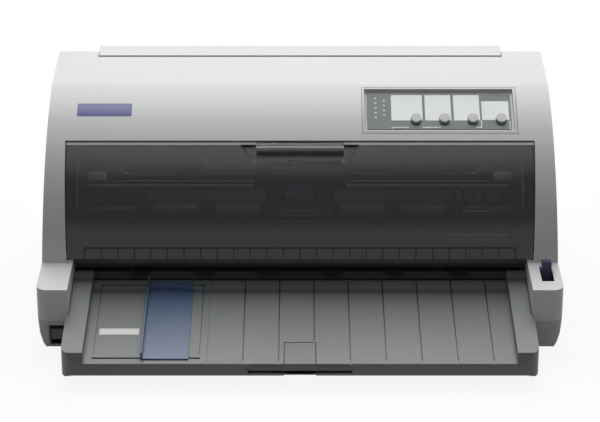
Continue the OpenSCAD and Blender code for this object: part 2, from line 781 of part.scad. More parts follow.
// Space above the floor, d below it
module above_floor(d) {
    polygon([
        [tray_front - 1, floor_z(tray_front - 1) - d], [tray_rear_y + 1, floor_z(tray_rear_y + 1) - d],
        [tray_rear_y + 1, 90], [tray_front - 1, 90],
    ]);
}
latch_y1 = tray_front + tray_t + latch_l;
latch_gap = 0.5;
latch_drop = 2.6;               // room for the finger bar's travel
latch_bar_z = [tray_front_z - 7, tray_front_z - 2.5];
module front_tray() {
    color("#6b6e6d") place() difference() {
        intersection() {
            along_x(-tray_hw, tray_hw) tray_side();
            translate([0, 0, base_z]) linear_extrude(60) tray_plan(0);
        }
        // space over the floor
        along_x(-floor_hw, floor_hw) above_floor(0);
        // hollow underside, below the floor and inside the walls
        difference() {
            intersection() {
                translate([0, 0, -1]) linear_extrude(60) tray_plan(tray_t);
                along_x(-tray_hw, tray_hw) polygon([
                    [tray_front + tray_t, -1], [tray_front + tray_t, tray_front_z + tray_wall - tray_t],
                    [tray_rear_y - tray_t, tray_rear_z + tray_wall - tray_t], [tray_rear_y - tray_t, -1],
                ]);
            }
            along_x(-floor_hw - tray_t, floor_hw + tray_t) above_floor(tray_t);
        }
        // grooves
        for (i = [0 : groove_n - 1]) {
            x = (i - (groove_n - 1) / 2) * groove_pitch + 45;
            along_x(x - 0.6, x + 0.6) above_floor(0.7);
        }
        // guide's track: two grooves across the floor
        for (y = guide_tracks)
            box([-186, y - 1.2, 0], [-89, y + 1.2, 60]);
        // latch's tongue and finger bar
        box([-latch_w / 2 - latch_gap, tray_front - 1, 0],
            [latch_w / 2 + latch_gap, latch_y1 + latch_gap, 60]);
        box([-latch_bar_w / 2 - latch_gap, tray_front - 1, latch_bar_z[0] - latch_drop],
            [latch_bar_w / 2 + latch_gap, tray_front + tray_t + 2, latch_bar_z[1] + latch_gap]);
    }
    color("#6b6e6d") place() tray_pins();
}
guide_tracks = [tray_front + 9, tray_rear_y - 9];
module tray_pins() {
    for (s = [-1, 1]) mirror([s > 0 ? 0 : 1, 0, 0])
        bar_x(tray_pivot, tray_in_hw - eps, gap_hw + wall, tray_pin_r);
}

// Sliding paper guide with its fin and the two tongues that run in the tray's grooves
guide_t = 1;
module edge_guide() {
    color("#4b5f85") place() {
        intersection() {
            along_x(guide_x, guide_x + guide_w) difference() {
                above_floor(-0.3);
                above_floor(-0.3 - guide_t);
            }
            box([guide_x, tray_front + 6, 0], [guide_x + guide_w, tray_rear_y - 4, 90]);
        }
        intersection() {
            along_x(guide_x, guide_x + 1.4) difference() {
                above_floor(-0.3);
                above_floor(-0.3 - guide_fin);
            }
            box([guide_x, tray_front + 6, 0], [guide_x + guide_w, tray_rear_y - 4, 90]);
        }
        for (y = guide_tracks) intersection() {
            box([guide_x + 2, y - 0.9, 0], [guide_x + guide_w - 2, y + 0.9, 60]);
            along_x(guide_x, guide_x + guide_w) difference() {
                above_floor(2);
                above_floor(-0.3 - guide_t / 2);
            }
        }
    }
}
// Plain scale beside the guide
scale_x0 = 11.5 - floor_hw;
scale_y0 = -19;
scale_w = 10;
scale_t = 0.2;
module scale_label() {
    color("white") place() intersection() {
        along_x(scale_x0, guide_x - 4) difference() {
            above_floor(0);
            above_floor(-scale_t);
        }
        box([scale_x0, scale_y0, 0], [guide_x, scale_y0 + scale_w, 60]);
    }
}
// Spring tongue in the tray's middle, with its finger bar
module tray_latch() {
    color("#5a5d5e") place() {
        intersection() {
            along_x(-latch_w / 2, latch_w / 2) difference() {
                above_floor(tray_t);
                above_floor(0.2);
            }
            box([-latch_w, tray_front + 0.2, 0], [latch_w, latch_y1, 60]);
        }
        box([-latch_bar_w / 2, tray_front + 0.2, latch_bar_z[0]],
            [latch_bar_w / 2, tray_front + tray_t + 1, latch_bar_z[1]]);
        // wall that joins the tongue and the bar
        box([-latch_w / 2, tray_front + 0.2, latch_bar_z[0]],
            [latch_w / 2, tray_front + tray_t, floor_z(tray_front) - 1]);
    }
}

// ---------------------------------------------------------------- control panel

module panel_bezel() {
    color("#4c5152") place() difference() {
        intersection() {
            on_panel() box([-panel_hw, -panel_hl, -panel_sink - floor_t], [panel_hw, panel_hl, 12]);
            along_x(0, foot_hw) side_profile(0);
        }
        on_panel() {
            box([-panel_hw + bezel_t, -panel_hl + bezel_t + 1.5, -panel_sink],
                [panel_hw - bezel_t, panel_hl - bezel_t, 20]);
            for (i = [0 : 3]) translate([button_x(i), button_y, -20])
                cylinder(r = button_r + 0.1, h = 30);
            for (p = lamp_places) translate([p[0], p[1], -20]) cylinder(r = lamp_r + fit, h = 30);
        }
    }
}
lamp_r = 1.1;
lamp_places = concat(
    [for (i = [0 : 4]) [-label_hw + 8, 17 - 6 * i]],
    [for (i = [0 : 3]) [-label_hw + 16, 14 - 6 * i]],
    [[button_x(3) - 16, 3.5], [button_x(3) - 16, -1.5]]);
// Printed plate on the panel's floor
module panel_label() {
    color("#5f6c5f") place() on_panel() difference() {
        box([-label_hw, -label_hl + 1.5, -panel_sink], [label_hw, label_hl, -panel_sink + label_t]);
        for (i = [0 : 3]) translate([button_x(i), button_y, -20])
            cylinder(r = button_r + 0.1, h = 30);
        for (p = lamp_places) translate([p[0], p[1], -20]) cylinder(r = lamp_r + fit, h = 30);
    }
}
module status_lamps() {
    color("#d98a2b") place() on_panel() for (p = lamp_places)
        translate([p[0], p[1], -panel_sink - floor_t - board_drop])
            cylinder(r = lamp_r, h = floor_t + board_drop + label_t + 0.3);
}
// Board behind the panel, on four posts that reach the bezel
module panel_board() {
    z1 = -panel_sink - floor_t - board_drop;
    color("#2f6b46") place() on_panel() {
        box([-label_hw, -label_hl, z1 - board_t], [label_hw, label_hl, z1]);
        for (x = [-label_hw + 3, label_hw - 3], y = [-label_hl + 3, label_hl - 3])
            translate([x, y, z1 - eps]) cylinder(r = 2, h = board_drop + eps);
    }
}
module button(i) {
    z0 = -panel_sink - floor_t - board_drop + button_travel + 0.2;
    color("#bdbfbe") place() on_panel() translate([button_x(i), button_y, 0]) {
        translate([0, 0, z0]) cylinder(r = button_r, h = -panel_sink + label_t + button_h - z0);
        translate([0, 0, z0]) cylinder(r = button_r + 1.5, h = 1.5);
    }
}
module button_1() button(0);
module button_2() button(1);
module button_3() button(2);
module button_4() button(3);

// ---------------------------------------------------------------- controls

module switch_body() {
    color("#222222") place() difference() {
        box([switch_x - switch_hw, 1, switch_z - switch_hh],
            [switch_x + switch_hw, switch_depth - 4, switch_z + switch_hh]);
        box([switch_x - rocker_w / 2 - seat, 0, switch_z - rocker_h / 2 - seat],
            [switch_x + rocker_w / 2 + seat, switch_depth - 7, switch_z + rocker_h / 2 + seat]);
        bar_x(rocker_p, switch_x - switch_hw - 1, switch_x + switch_hw + 1, 1.5 + fit);
    }
}
rocker_p = [8, switch_z];
module power_rocker() {
    color("#1c1c1e") place() {
        intersection() {
            bar_x([rocker_p[0] + 1, rocker_p[1]], switch_x - rocker_w / 2, switch_x + rocker_w / 2,
                rocker_h / 2);
            box([-foot_hw, 2.2, 0], [foot_hw, rocker_p[0] + 4, 40]);
        }
        bar_x(rocker_p, switch_x - switch_hw, switch_x + switch_hw, 1.5);
    }
}
// Lever on the ledge that opens the pinch rollers
module release_lever() {
    color("#3d3f63") place() along_x(lever_x - lever_w / 2, lever_x + lever_w / 2)
        translate([lever_y, lever_z]) rotate(lever_tilt) difference() {
            union() {
                circle(r = lever_pin_r + 3);
                translate([-4, 0]) square([8, lever_l - 1]);
                translate([-6, lever_l - 7]) square([12, 6]);
            }
            circle(r = lever_pin_r + fit);
        }
}

// ---------------------------------------------------------------- frame

chassis_hw = foot_hw - 16;
frame_y0 = tray_rear_y + 10;
frame_y1 = body_d - 16;
frame_top = 142;
module base_chassis() {
    color("#a9acae") place() difference() {
        box([-chassis_hw, frame_y0, chassis_z], [chassis_hw, body_d - 12, plate_z]);
        for (p = post_places) translate([p[0], p[1], 0]) cylinder(r = screw_r + fit, h = 30);
        // window under the rear rollers
        box([platen_side - frame_hw, platen_p[0] + 12, 0], [frame_hw - platen_side, rear_p[0] + 18, 30]);
    }
}
// Outline of a side frame
module frame_outline() {
    polygon([
        [frame_y0, plate_z], [frame_y1, plate_z], [frame_y1, rod_p[1] + 10],
        [tractor_p[0] + 4, frame_top], [platen_p[0] - 8, frame_top],
        [platen_p[0] - 29, frame_top - 22], [frame_y0, 60],
    ]);
}
// Bores of the shafts in both side frames
module frame_bores() {
    for (b = [[platen_p, journal_r], [front_p, shaft_r], [rear_p, shaft_r],
            [front_pinch_p, pinch_shaft_r], [rear_pinch_p, pinch_shaft_r], [guide_p, guide_r],
            [tractor_p, shaft_r], [rod_p, shaft_r]])
        translate(b[0]) circle(r = b[1] + fit);
}
module side_frame_left() {
    color("#b5b8ba") place() {
        along_x(-frame_out, -frame_hw) difference() {
            frame_outline();
            frame_bores();
            translate(motor_p) circle(r = motor_boss_r + 0.1);
        }
        for (p = [front_idler_p, rear_idler_p, drive_p, tractor_idler_p])
            bar_x(p, gear_x - 1, -frame_out + 0.2, stud_r);
        difference() {
            box([-frame_hw - 0.2, pulley_y - 20, belt_z - 5],
                [-pulley_x + tab_hw, pulley_y + 20, belt_z - 5 + sheet]);
            translate([-pulley_x, pulley_y, belt_z - 10]) cylinder(r = post_r + 1, h = 20);
        }
    }
}
module side_frame_right() {
    color("#b5b8ba") place() {
        along_x(frame_hw, frame_out) difference() {
            frame_outline();
            frame_bores();
        }
        box([pulley_x - tab_hw, pulley_y - 20, belt_z - 5],
            [frame_hw + 0.2, pulley_y + 20, belt_z - 5 + sheet]);
        translate([pulley_x, pulley_y, belt_z - 5]) cylinder(r = post_r, h = belt_w + 7);
    }
}
// Stay across the top of the side frames, which also holds the head cable
brace_z = frame_top - 2;
brace_y = [160, 196];
brace_lip = 8;
module top_brace() {
    color("#9fa3a5") place() {
        box([-frame_hw, brace_y[0], brace_z], [frame_hw, brace_y[1], brace_z + sheet]);
        box([-frame_hw, brace_y[1] - sheet, brace_z - brace_lip], [frame_hw, brace_y[1], brace_z + eps]);
    }
}
// Front sheet that leads the paper from the tray to the platen
module front_paper_guide() {
    color("#3c4042") place() difference() {
        along_x(-frame_hw, frame_hw) polygon([
            [tray_rear_y + 6.5, floor_z(tray_rear_y) - 3], [front_p[0] - 4, front_p[1] + 5.5],
            [front_p[0] + 4, front_p[1] + 5.5], [112, 46], [111, 47.5],
            [front_p[0] + 3, front_p[1] + 7], [front_p[0] - 5, front_p[1] + 7],
            [tray_rear_y + 6.5, floor_z(tray_rear_y) - 1],
        ]);
        for (x = roller_places) bar_x(front_p, x - roller_w / 2 - 1, x + roller_w / 2 + 1, feed_r + 0.6);
    }
}
roller_places = [-150, -90, -30, 30, 90, 150];
roller_w = 16;
// Rear sheet between the rear rollers and the tractors
module rear_paper_guide() {
    color("#3c4042") place() {
        along_x(-guide_sheet_x, guide_sheet_x) polygon([
            [rear_p[0] + 12, paper_z - 2.5], guide_sheet_p,
            guide_sheet_p + [0, guide_sheet_t], [rear_p[0] + 12, paper_z - 2.5 + guide_sheet_t],
        ]);
        along_x(-frame_hw, frame_hw) polygon([
            guide_sheet_p + [-16, -7], guide_sheet_p,
            guide_sheet_p + [0, guide_sheet_t], guide_sheet_p + [-16, guide_sheet_t - 7],
        ]);
    }
}
// Cross member in front of the head: its flange carries the carriage's front
rail_windows = 12;              // windows on each side of the middle one
window_pitch = 15.3;
window_w = 10.4;
window_h = 7;
module front_rail() {
    color("#2f3234") place() {
        difference() {
            box([-frame_hw, rail_y, rail_z0], [frame_hw, rail_y + sheet, rail_z]);
            for (i = [-rail_windows : rail_windows])
                box([i * window_pitch - window_w / 2, rail_y - 1, rail_z0 + 3],
                    [i * window_pitch + window_w / 2, rail_y + sheet + 1, rail_z0 + 3 + window_h]);
        }
        box([-frame_hw, rail_y - 4, rail_z - sheet], [frame_hw, rail_y + eps, rail_z]);
    }
}

// ---------------------------------------------------------------- rollers and gears

module platen() {
    color("#26282a") place() {
        bar_x(platen_p, platen_side - frame_hw, frame_hw - platen_side, platen_r);
        bar_x(platen_p, gear_x - 1, frame_out + 2, journal_r);
    }
}
module platen_gear() {
    color("ivory") place() gear(platen_p, gear_x, platen_n, 0, journal_r + fit);
}
// Shaft with rubber rollers and, where n is over 0, its gear
module feed_roller(p, n, phase) {
    bar_x(p, n > 0 ? gear_x - 1 : -frame_out - 1, frame_out + 1, n > 0 ? shaft_r : pinch_shaft_r);
    for (x = roller_places) bar_x(p, x - roller_w / 2, x + roller_w / 2, n > 0 ? feed_r : pinch_r);
    if (n > 0) gear(p, gear_x, n, phase, shaft_r - eps);
}
module front_feed_roller() {
    color("#303234") place() feed_roller(front_p, front_n, front_ph);
}
module rear_feed_roller() {
    color("#303234") place() feed_roller(rear_p, rear_n, rear_ph);
}
module front_pinch_roller() {
    color("#45484a") place() feed_roller(front_pinch_p, 0, 0);
}
module rear_pinch_roller() {
    color("#45484a") place() feed_roller(rear_pinch_p, 0, 0);
}
module idler(p, n, phase) {
    color("ivory") place() gear(p, gear_x, n, phase, stud_r + fit);
}
module front_idler_gear() idler(front_idler_p, idler_n, front_idler_ph);
module rear_idler_gear() idler(rear_idler_p, idler_n, rear_idler_ph);
module drive_idler_gear() idler(drive_p, drive_n, drive_ph);
module tractor_idler_gear() idler(tractor_idler_p, tractor_idler_n, tractor_idler_ph);

// Stepping motor of the paper feed, on the left frame's inside
module feed_motor() {
    color("#8f9294") place() difference() {
        union() {
            bar_x(motor_p, -frame_hw, -frame_hw + motor_l, motor_r);
            bar_x(motor_p, -frame_out - 0.8, -frame_hw + 1, motor_boss_r);
        }
        bar_x(motor_p, gear_x - 1, -frame_hw + 12, post_r + fit);
    }
}
module motor_pinion() {
    color("#c9a44a") place() {
        gear(motor_p, gear_x, pinion_n, pinion_ph, post_r - eps);
        bar_x(motor_p, gear_x - 1, -frame_hw + 11, post_r);
    }
}

// ---------------------------------------------------------------- carriage

module carriage_shaft() {
    color("#d5d8da") place() bar_x(guide_p, -frame_out - 1, frame_out + 1, guide_r);
}
module carriage() {
    color("#2b2e31") place() difference() {
        along_x(-carriage_hw, carriage_hw) polygon([
            [rail_y - 4, rail_z + seat], [rail_y - 4, rail_z + 6], [rail_y + 9, carriage_top],
            [pulley_y - belt_r - belt_t - seat, carriage_top],
            [pulley_y - belt_r - belt_t - seat, guide_p[1] - 1],
            guide_p + [9, -9], guide_p + [-18, -9], guide_p + [-24, -20], [rail_y + 6, guide_p[1] - 20],
            [rail_y + 4, rail_z + seat],
        ]);
        bar_x(guide_p, -foot_hw, foot_hw, guide_r + fit);
        // pocket of the head and the ways of the ribbon arms
        box([head[0][0] - seat, head[0][1] - seat, 60], [head[1][0] + seat, head[1][1] + seat, 110]);
        box([-arm_x1 - seat, arm_y0 - seat, 60], [arm_x1 + seat, arm_y1 + seat, 110]);
    }
}
arm_x0 = head_hw + 1.5;
arm_x1 = arm_x0 + 3.5;
arm_y0 = platen_p[0] - 7;
arm_y1 = platen_p[0] + 7;
cartridge_hw = 44;
cartridge_y0 = head[1][1] + 1;
cartridge_h = 15;
nose_z = paper_z + 1.8;
module print_head() {
    color("#9ea3a6") place() {
        box([head[0][0], head[0][1], head_z0], [head[1][0], head[1][1], head_z1]);
        // nose over the platen
        box([-5, platen_p[0] - 5, nose_z], [5, platen_p[0] + 5, head_z0 + 1]);
        // shoulders that rest on the carriage
        box([head[0][0] - 6, head[1][1] - 10, carriage_top], [head[1][0] + 6, head[1][1] - 1, carriage_top + 3]);
        for (i = [0 : fin_n - 1])
            box([head[0][0] + 1, head[0][1] + 1 + i * fin_pitch, head_z1 - 1],
                [head[1][0] - 1, head[0][1] + 3 + i * fin_pitch, head_z1 + fin_h]);
    }
}
module ribbon_cartridge() {
    z = carriage_top;
    color("#1f2123") place() {
        difference() {
            box([-cartridge_hw, cartridge_y0, z], [cartridge_hw, pulley_y - belt_r - 4, z + cartridge_h]);
            // sunk field of its lid
            box([3 - cartridge_hw, cartridge_y0 + 3, z + cartridge_h - 1.5],
                [cartridge_hw - 3, pulley_y - belt_r - 7, z + cartridge_h + 1]);
        }
        for (s = [-1, 1]) mirror([s > 0 ? 0 : 1, 0, 0]) {
            box([arm_x0 + 5, arm_y1 - 1, z + 4], [arm_x1 + 5, cartridge_y0 + 1, z + 10]);
            box([arm_x0, arm_y0, z + 4], [arm_x1 + 5, arm_y1, z + 10]);
            box([arm_x0, arm_y0, nose_z + 2], [arm_x1, arm_y1 - 2, z + 5]);
        }
    }
}
// Inked ribbon between the arms, under the head's nose
ribbon_t = 0.3;
module ribbon() {
    color("#141416") place() difference() {
        box([-arm_x0 + seat / 2, arm_y0 + 1, nose_z - 0.3 - ribbon_t],
            [arm_x0 - seat / 2, arm_y1 - 3, carriage_top + 8]);
        box([-arm_x0 + seat / 2 + ribbon_t, arm_y0, nose_z - 0.3], [arm_x0 - seat / 2 - ribbon_t, arm_y1, 200]);
        box([head[0][0] - 0.5, head[0][1] - 1, 74], [head[1][0] + 0.5, head[1][1], 200]);
    }
}
module belt_outline(r) {
    translate([-pulley_x, pulley_y - r]) square([2 * pulley_x, 2 * r]);
    for (x = [-pulley_x, pulley_x]) translate([x, pulley_y]) circle(r = r);
}
module carriage_belt() {
    color("#1b1c1e") place() translate([0, 0, belt_z]) linear_extrude(belt_w) difference() {
        belt_outline(belt_r + belt_t);
        belt_outline(belt_r);
    }
}
module pulley(x) {
    difference() {
        union() {
            translate([x, pulley_y, belt_z - 0.5]) cylinder(r = pulley_r, h = belt_w + 1);
            translate([x, pulley_y, belt_z + belt_w + 0.4]) cylinder(r = pulley_r + 2, h = 1);
            translate([x, pulley_y, belt_z - 1.4]) cylinder(r = pulley_r + 2, h = 1);
        }
        translate([x, pulley_y, 0]) cylinder(r = post_r + fit, h = 200);
    }
}
module motor_pulley() {
    color("#c9a44a") place() {
        pulley(-pulley_x);
        translate([-pulley_x, pulley_y, belt_z - 18]) cylinder(r = post_r + fit, h = belt_w + 20);
    }
}
module idler_pulley() {
    color("ivory") place() pulley(pulley_x);
}
module carriage_motor() {
    z1 = belt_z - 5;
    color("#8f9294") place() difference() {
        translate([-pulley_x, pulley_y, z1 - 30]) cylinder(r = carriage_motor_r, h = 30);
        translate([-pulley_x, pulley_y, z1 - 14]) cylinder(r = post_r + 2 * fit, h = 20);
    }
}
// Flat cable: from the head to the left, round a half turn and back under the stay
cable_y = [161, 185];
cable_t = 0.6;
cable_left = -86;
cable_run = 110;                // length of its upper run
module head_cable() {
    z0 = carriage_top + cartridge_h + seat;
    z1 = brace_z - seat;
    r = (z1 - z0) / 2;
    color("#d6d8d4") place() along_y(cable_y[0], cable_y[1]) {
        translate([cable_left, z0]) square([-cable_left - 12, cable_t]);
        translate([cable_left, z1 - cable_t]) square([cable_run, cable_t]);
        intersection() {
            translate([cable_left, (z0 + z1) / 2]) difference() {
                circle(r = r);
                circle(r = r - cable_t);
            }
            translate([cable_left - 50, z0]) square([50, 2 * r]);
        }
    }
}

// ---------------------------------------------------------------- electrics

board_z = plate_z + 4;
board = [[58 - frame_hw, rear_p[0] + 33], [70, body_d - 18]];
chip_h = 2.4;
capacitor_r = 5;
module main_board() {
    color("#2f6b46") place() {
        box([board[0][0], board[0][1], board_z], [board[1][0], board[1][1], board_z + board_t]);
        for (x = [board[0][0] + 4, board[1][0] - 4], y = [board[0][1] + 4, board[1][1] - 4])
            translate([x, y, plate_z]) cylinder(r = post_r, h = board_z - plate_z + eps);
        chip(30, 20, 30, 30);
        chip(90, 17, 24, 24);
        chip(150, 10, 14, 25);
        for (i = [0 : 2]) translate([board[1][0] - 44 + 15 * i, board[0][1] + 20, board_z + 1])
            cylinder(r = capacitor_r, h = 14);
    }
}
// Chip on the main board, dx and dy from the board's left front corner, w wide and l long
module chip(dx, dy, w, l) {
    translate([board[0][0] + dx, board[0][1] + dy, board_z + 1]) cube([w, l, board_t - 1 + chip_h]);
}
// Cage of the power supply with slots in its top
supply = [[board[1][0] + 20, rear_p[0] + 28], [post_x - 16, body_d - 20]];
supply_h = 42;
supply_t = 2;
slot_pitch = 10;
module power_supply() {
    color("#b9bcbe") place() difference() {
        box([supply[0][0], supply[0][1], plate_z], [supply[1][0], supply[1][1], plate_z + supply_h]);
        box([supply[0][0] + supply_t, supply[0][1] + supply_t, plate_z + supply_t],
            [supply[1][0] - supply_t, supply[1][1] - supply_t, plate_z + supply_h - 1.5]);
        for (i = [0 : 8]) translate([supply[0][0] + 12 + i * slot_pitch, 0, plate_z + supply_h - supply_t])
            box([0, supply[0][1] + slot_pitch, 0], [slot_pitch / 2, supply[1][1] - slot_pitch, supply_t + 1]);
    }
}
// Parallel port and serial-bus port on the main board's rear edge
port_wall = 2.5;
usb_wall = 1.5;
module rear_connectors() {
    z0 = board_z + board_t;
    color("#8d9093") place() {
        difference() {
            box([port[0][0], board[1][1] - 4, z0], [port[1][0], body_d - 0.5, z0 + 12]);
            box([port[0][0] + port_wall, body_d - 7, z0 + port_wall],
                [port[1][0] - port_wall, body_d, z0 + 12 - port_wall]);
        }
        difference() {
            box([usb[0][0] + 2, board[1][1] - 2, z0], [usb[1][0] - 2, body_d - 0.5, z0 + 10]);
            box([usb[0][0] + 2 + usb_wall, body_d - 9, z0 + usb_wall],
                [usb[1][0] - 2 - usb_wall, body_d, z0 + 10 - usb_wall]);
        }
    }
}
inlet_wall = 3;
module ac_inlet() {
    color("#202022") place() difference() {
        box([inlet[0][0], body_d - 20, inlet[0][1]], [inlet[1][0], body_d - 0.5, inlet[1][1]]);
        box([inlet[0][0] + inlet_wall, body_d - 14, inlet[0][1] + inlet_wall],
            [inlet[1][0] - inlet_wall, body_d, inlet[1][1] - inlet_wall]);
    }
}

// ---------------------------------------------------------------- tractors

sprocket_r = 12;
module tractor_shaft() {
    color("#d5d8da") place() {
        bar_x(tractor_p, gear_x - 1, frame_out + 1, shaft_r);
        gear(tractor_p, gear_x, tractor_n, tractor_ph, shaft_r - eps);
    }
}
module tractor_rod() {
    color("#d5d8da") place() bar_x(rod_p, -frame_out - 1, frame_out + 1, shaft_r);
}
// Tractor: block that slides on the rod, with a wide square way for the drive shaft and the pins of its belt
tractor_hw = 11;
rod_eye_r = 9;
drive_way = 2;                  // gap between the drive shaft and the sides of its way
pin_n = 3;
// Outline with eight flat sides at the distance r from the point p
module octagon(p, r) {
    polygon([for (a = [22.5 : 45 : 337.5]) p + r / cos(22.5) * [cos(a), sin(a)]]);
}
module tractor(x) {
    color("#2d3134") place() {
        along_x(x - tractor_hw, x + tractor_hw) difference() {
            union() {
                octagon(tractor_p, sprocket_r + 2);
                octagon(rod_p, rod_eye_r);
                polygon([
                    tractor_p + [-10, 9], rod_p + [-6, 7], rod_p + [6, -7], tractor_p + [10, -9],
                ]);
            }
            translate(tractor_p) square(2 * (shaft_r + drive_way), center = true);
            translate(rod_p) circle(r = shaft_r + fit);
        }
        // pins of the belt, along its upper run
        for (i = [0 : pin_n - 1])
            translate([x, tractor_p[0] + 2 + i * 7, tractor_p[1] + 6 + i * 6])
                rotate([40, 0, 0]) cylinder(r1 = 2, r2 = 1.2, h = 11);
    }
}
module tractor_left() tractor(-tractor_x);
module tractor_right() tractor(tractor_x);

// ---------------------------------------------------------------- output

lower_case();
upper_case();
rubber_feet();
chassis_screws();
printer_cover();
cover_plate();
rear_cover();
front_tray();
edge_guide();
scale_label();
tray_latch();
panel_bezel();
panel_label();
panel_board();
status_lamps();
button_1();
button_2();
button_3();
button_4();
badge_plate();
switch_body();
power_rocker();
release_lever();
base_chassis();
side_frame_left();
side_frame_right();
top_brace();
front_paper_guide();
rear_paper_guide();
front_rail();
platen();
platen_gear();
front_feed_roller();
rear_feed_roller();
front_pinch_roller();
rear_pinch_roller();
front_idler_gear();
rear_idler_gear();
drive_idler_gear();
tractor_idler_gear();
feed_motor();
motor_pinion();
carriage_shaft();
carriage();
print_head();
ribbon_cartridge();
ribbon();
carriage_belt();
carriage_motor();
motor_pulley();
idler_pulley();
head_cable();
main_board();
power_supply();
rear_connectors();
ac_inlet();
tractor_shaft();
tractor_rod();
tractor_left();
tractor_right();
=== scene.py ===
# %% [markdown]
# # A flatbed dot matrix printer
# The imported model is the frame: its nodes stay where they are. This lesson gives every node its finish,
# adds the small pieces that show from a step away, and sets up a plain studio.

import math

import bpy
import numpy as np
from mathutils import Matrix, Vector


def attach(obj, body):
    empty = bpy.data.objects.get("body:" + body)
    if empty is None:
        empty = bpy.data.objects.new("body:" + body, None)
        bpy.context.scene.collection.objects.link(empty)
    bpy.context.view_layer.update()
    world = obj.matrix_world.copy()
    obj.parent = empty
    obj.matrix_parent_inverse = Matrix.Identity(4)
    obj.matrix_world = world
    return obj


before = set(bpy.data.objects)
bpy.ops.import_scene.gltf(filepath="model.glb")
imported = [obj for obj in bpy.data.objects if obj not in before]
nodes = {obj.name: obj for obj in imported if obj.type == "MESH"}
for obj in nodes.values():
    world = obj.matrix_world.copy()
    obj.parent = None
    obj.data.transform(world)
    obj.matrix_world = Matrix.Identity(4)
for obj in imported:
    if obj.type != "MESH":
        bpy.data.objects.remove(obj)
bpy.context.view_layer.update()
MM = 0.001
FOOT_Y = -119               # front plane of the case's foot in the frame, in mm


def node_points(name):
    """A node's corners in mm, with the depth counted from the foot."""
    points = np.empty(3 * len(nodes[name].data.vertices))
    nodes[name].data.vertices.foreach_get("co", points)
    return points.reshape(-1, 3) / MM - (0, FOOT_Y, 0)


def node_middle(name):
    """The middle of a node's box; a roller's axis runs through it."""
    points = node_points(name)
    return (points.min(0) + points.max(0)) / 2


# %% [markdown]
# The photograph was taken with a long lens from in front and above, so the sides hardly splay. The camera
# is placed by that reading: its distance, its downward angle and the point it looks at are named values.

# %% camera
CAM_PITCH = math.radians(23.5)
CAM_DISTANCE = 2.2
CAM_TARGET = Vector((0, FOOT_Y + 95, 100)) * MM
FOCAL_PX = 2346
IMAGE_W = 600
SENSOR_MM = 36

cam_data = bpy.data.cameras.new("camera")
camera = bpy.data.objects.new("camera", cam_data)
bpy.context.scene.collection.objects.link(camera)
look = Vector((0, math.cos(CAM_PITCH), -math.sin(CAM_PITCH)))
camera.location = CAM_TARGET - look * CAM_DISTANCE
camera.rotation_euler = look.to_track_quat("-Z", "Y").to_euler()
cam_data.sensor_width = SENSOR_MM
cam_data.lens = FOCAL_PX / IMAGE_W * SENSOR_MM
cam_data.clip_start, cam_data.clip_end = 0.05, 30
bpy.context.scene.camera = camera
bpy.context.scene.view_settings.view_transform = "Standard"
print("lens in mm:", round(cam_data.lens, 1))

# %% [markdown]
# In the photograph the top is bright, the barrel front falls off smoothly and upright faces are dark: one
# wide soft light hangs above and behind, about 32 degrees off the vertical, with a weak fill all round. The
# world is white to the camera, but it lights the object only weakly. Reflections see it brighter overhead
# than near the horizon, as a white studio ceiling would be, and so the cover gets its sheen at the top
# alone.

# %% studio
TOP_LIGHT_W = 51
TOP_LIGHT_PLACE = (0, 1.18, 1.97)
TOP_LIGHT_AIM = (0, 0, 0.1)
TOP_LIGHT_SIZE = 1.8
FILL_LEVEL = 0.19
SHEEN_Z = (0.78, 0.96)      # height of a reflection's direction, from dim to full
SHEEN_LEVEL = (0.25, 1.0)


def link(tree, a, b):
    """Joins an output socket to an input socket."""
    tree.links.new(a, b)


def add_node(tree, kind, **values):
    """A shader node with its inputs set by name; other names are the node's own properties."""
    node = tree.nodes.new(kind)
    for key, value in values.items():
        name = key.replace("_", " ")
        if name in node.inputs:
            node.inputs[name].default_value = value
        else:
            setattr(node, key, value)
    return node


def math_node(tree, operation, a, b):
    """One step of arithmetic; a and b are sockets or numbers."""
    node = tree.nodes.new("ShaderNodeMath")
    node.operation = operation
    for socket, value in zip(node.inputs, (a, b)):
        if isinstance(value, (int, float)):
            socket.default_value = value
        else:
            link(tree, value, socket)
    return node.outputs[0]


def ramp_node(tree, value, from_range, to_range=(0.0, 1.0)):
    """A value carried from one range to another, and held at its ends."""
    node = add_node(tree, "ShaderNodeMapRange", clamp=True)
    link(tree, value, node.inputs["Value"])
    for label, number in zip(("From Min", "From Max", "To Min", "To Max"), (*from_range, *to_range)):
        node.inputs[label].default_value = number
    return node.outputs[0]


def mix_colour(tree, share, a, b):
    """Mixes colour a towards colour b; each may be a socket or a tuple."""
    node = tree.nodes.new("ShaderNodeMix")
    node.data_type = "RGBA"
    for socket, value in ((node.inputs[0], share), (node.inputs[6], a), (node.inputs[7], b)):
        if isinstance(value, (int, float, tuple)):
            socket.default_value = value
        else:
            link(tree, value, socket)
    return node.outputs[2]


def seen_plainly(tree, path):
    """1 for rays that show the surroundings to the eye: camera, reflected or see-through ones; else 0."""
    seen = math_node(tree, "MAXIMUM", path.outputs["Is Camera Ray"], path.outputs["Is Glossy Ray"])
    return math_node(tree, "MAXIMUM", seen, path.outputs["Is Transmission Ray"])


top_data = bpy.data.lights.new("top_light", "AREA")
top_data.shape, top_data.size, top_data.energy = "SQUARE", TOP_LIGHT_SIZE, TOP_LIGHT_W
top_light = bpy.data.objects.new("top_light", top_data)
top_light.location = TOP_LIGHT_PLACE
light_way = Vector(TOP_LIGHT_AIM) - Vector(TOP_LIGHT_PLACE)
top_light.rotation_euler = light_way.to_track_quat("-Z", "Y").to_euler()
bpy.context.scene.collection.objects.link(top_light)

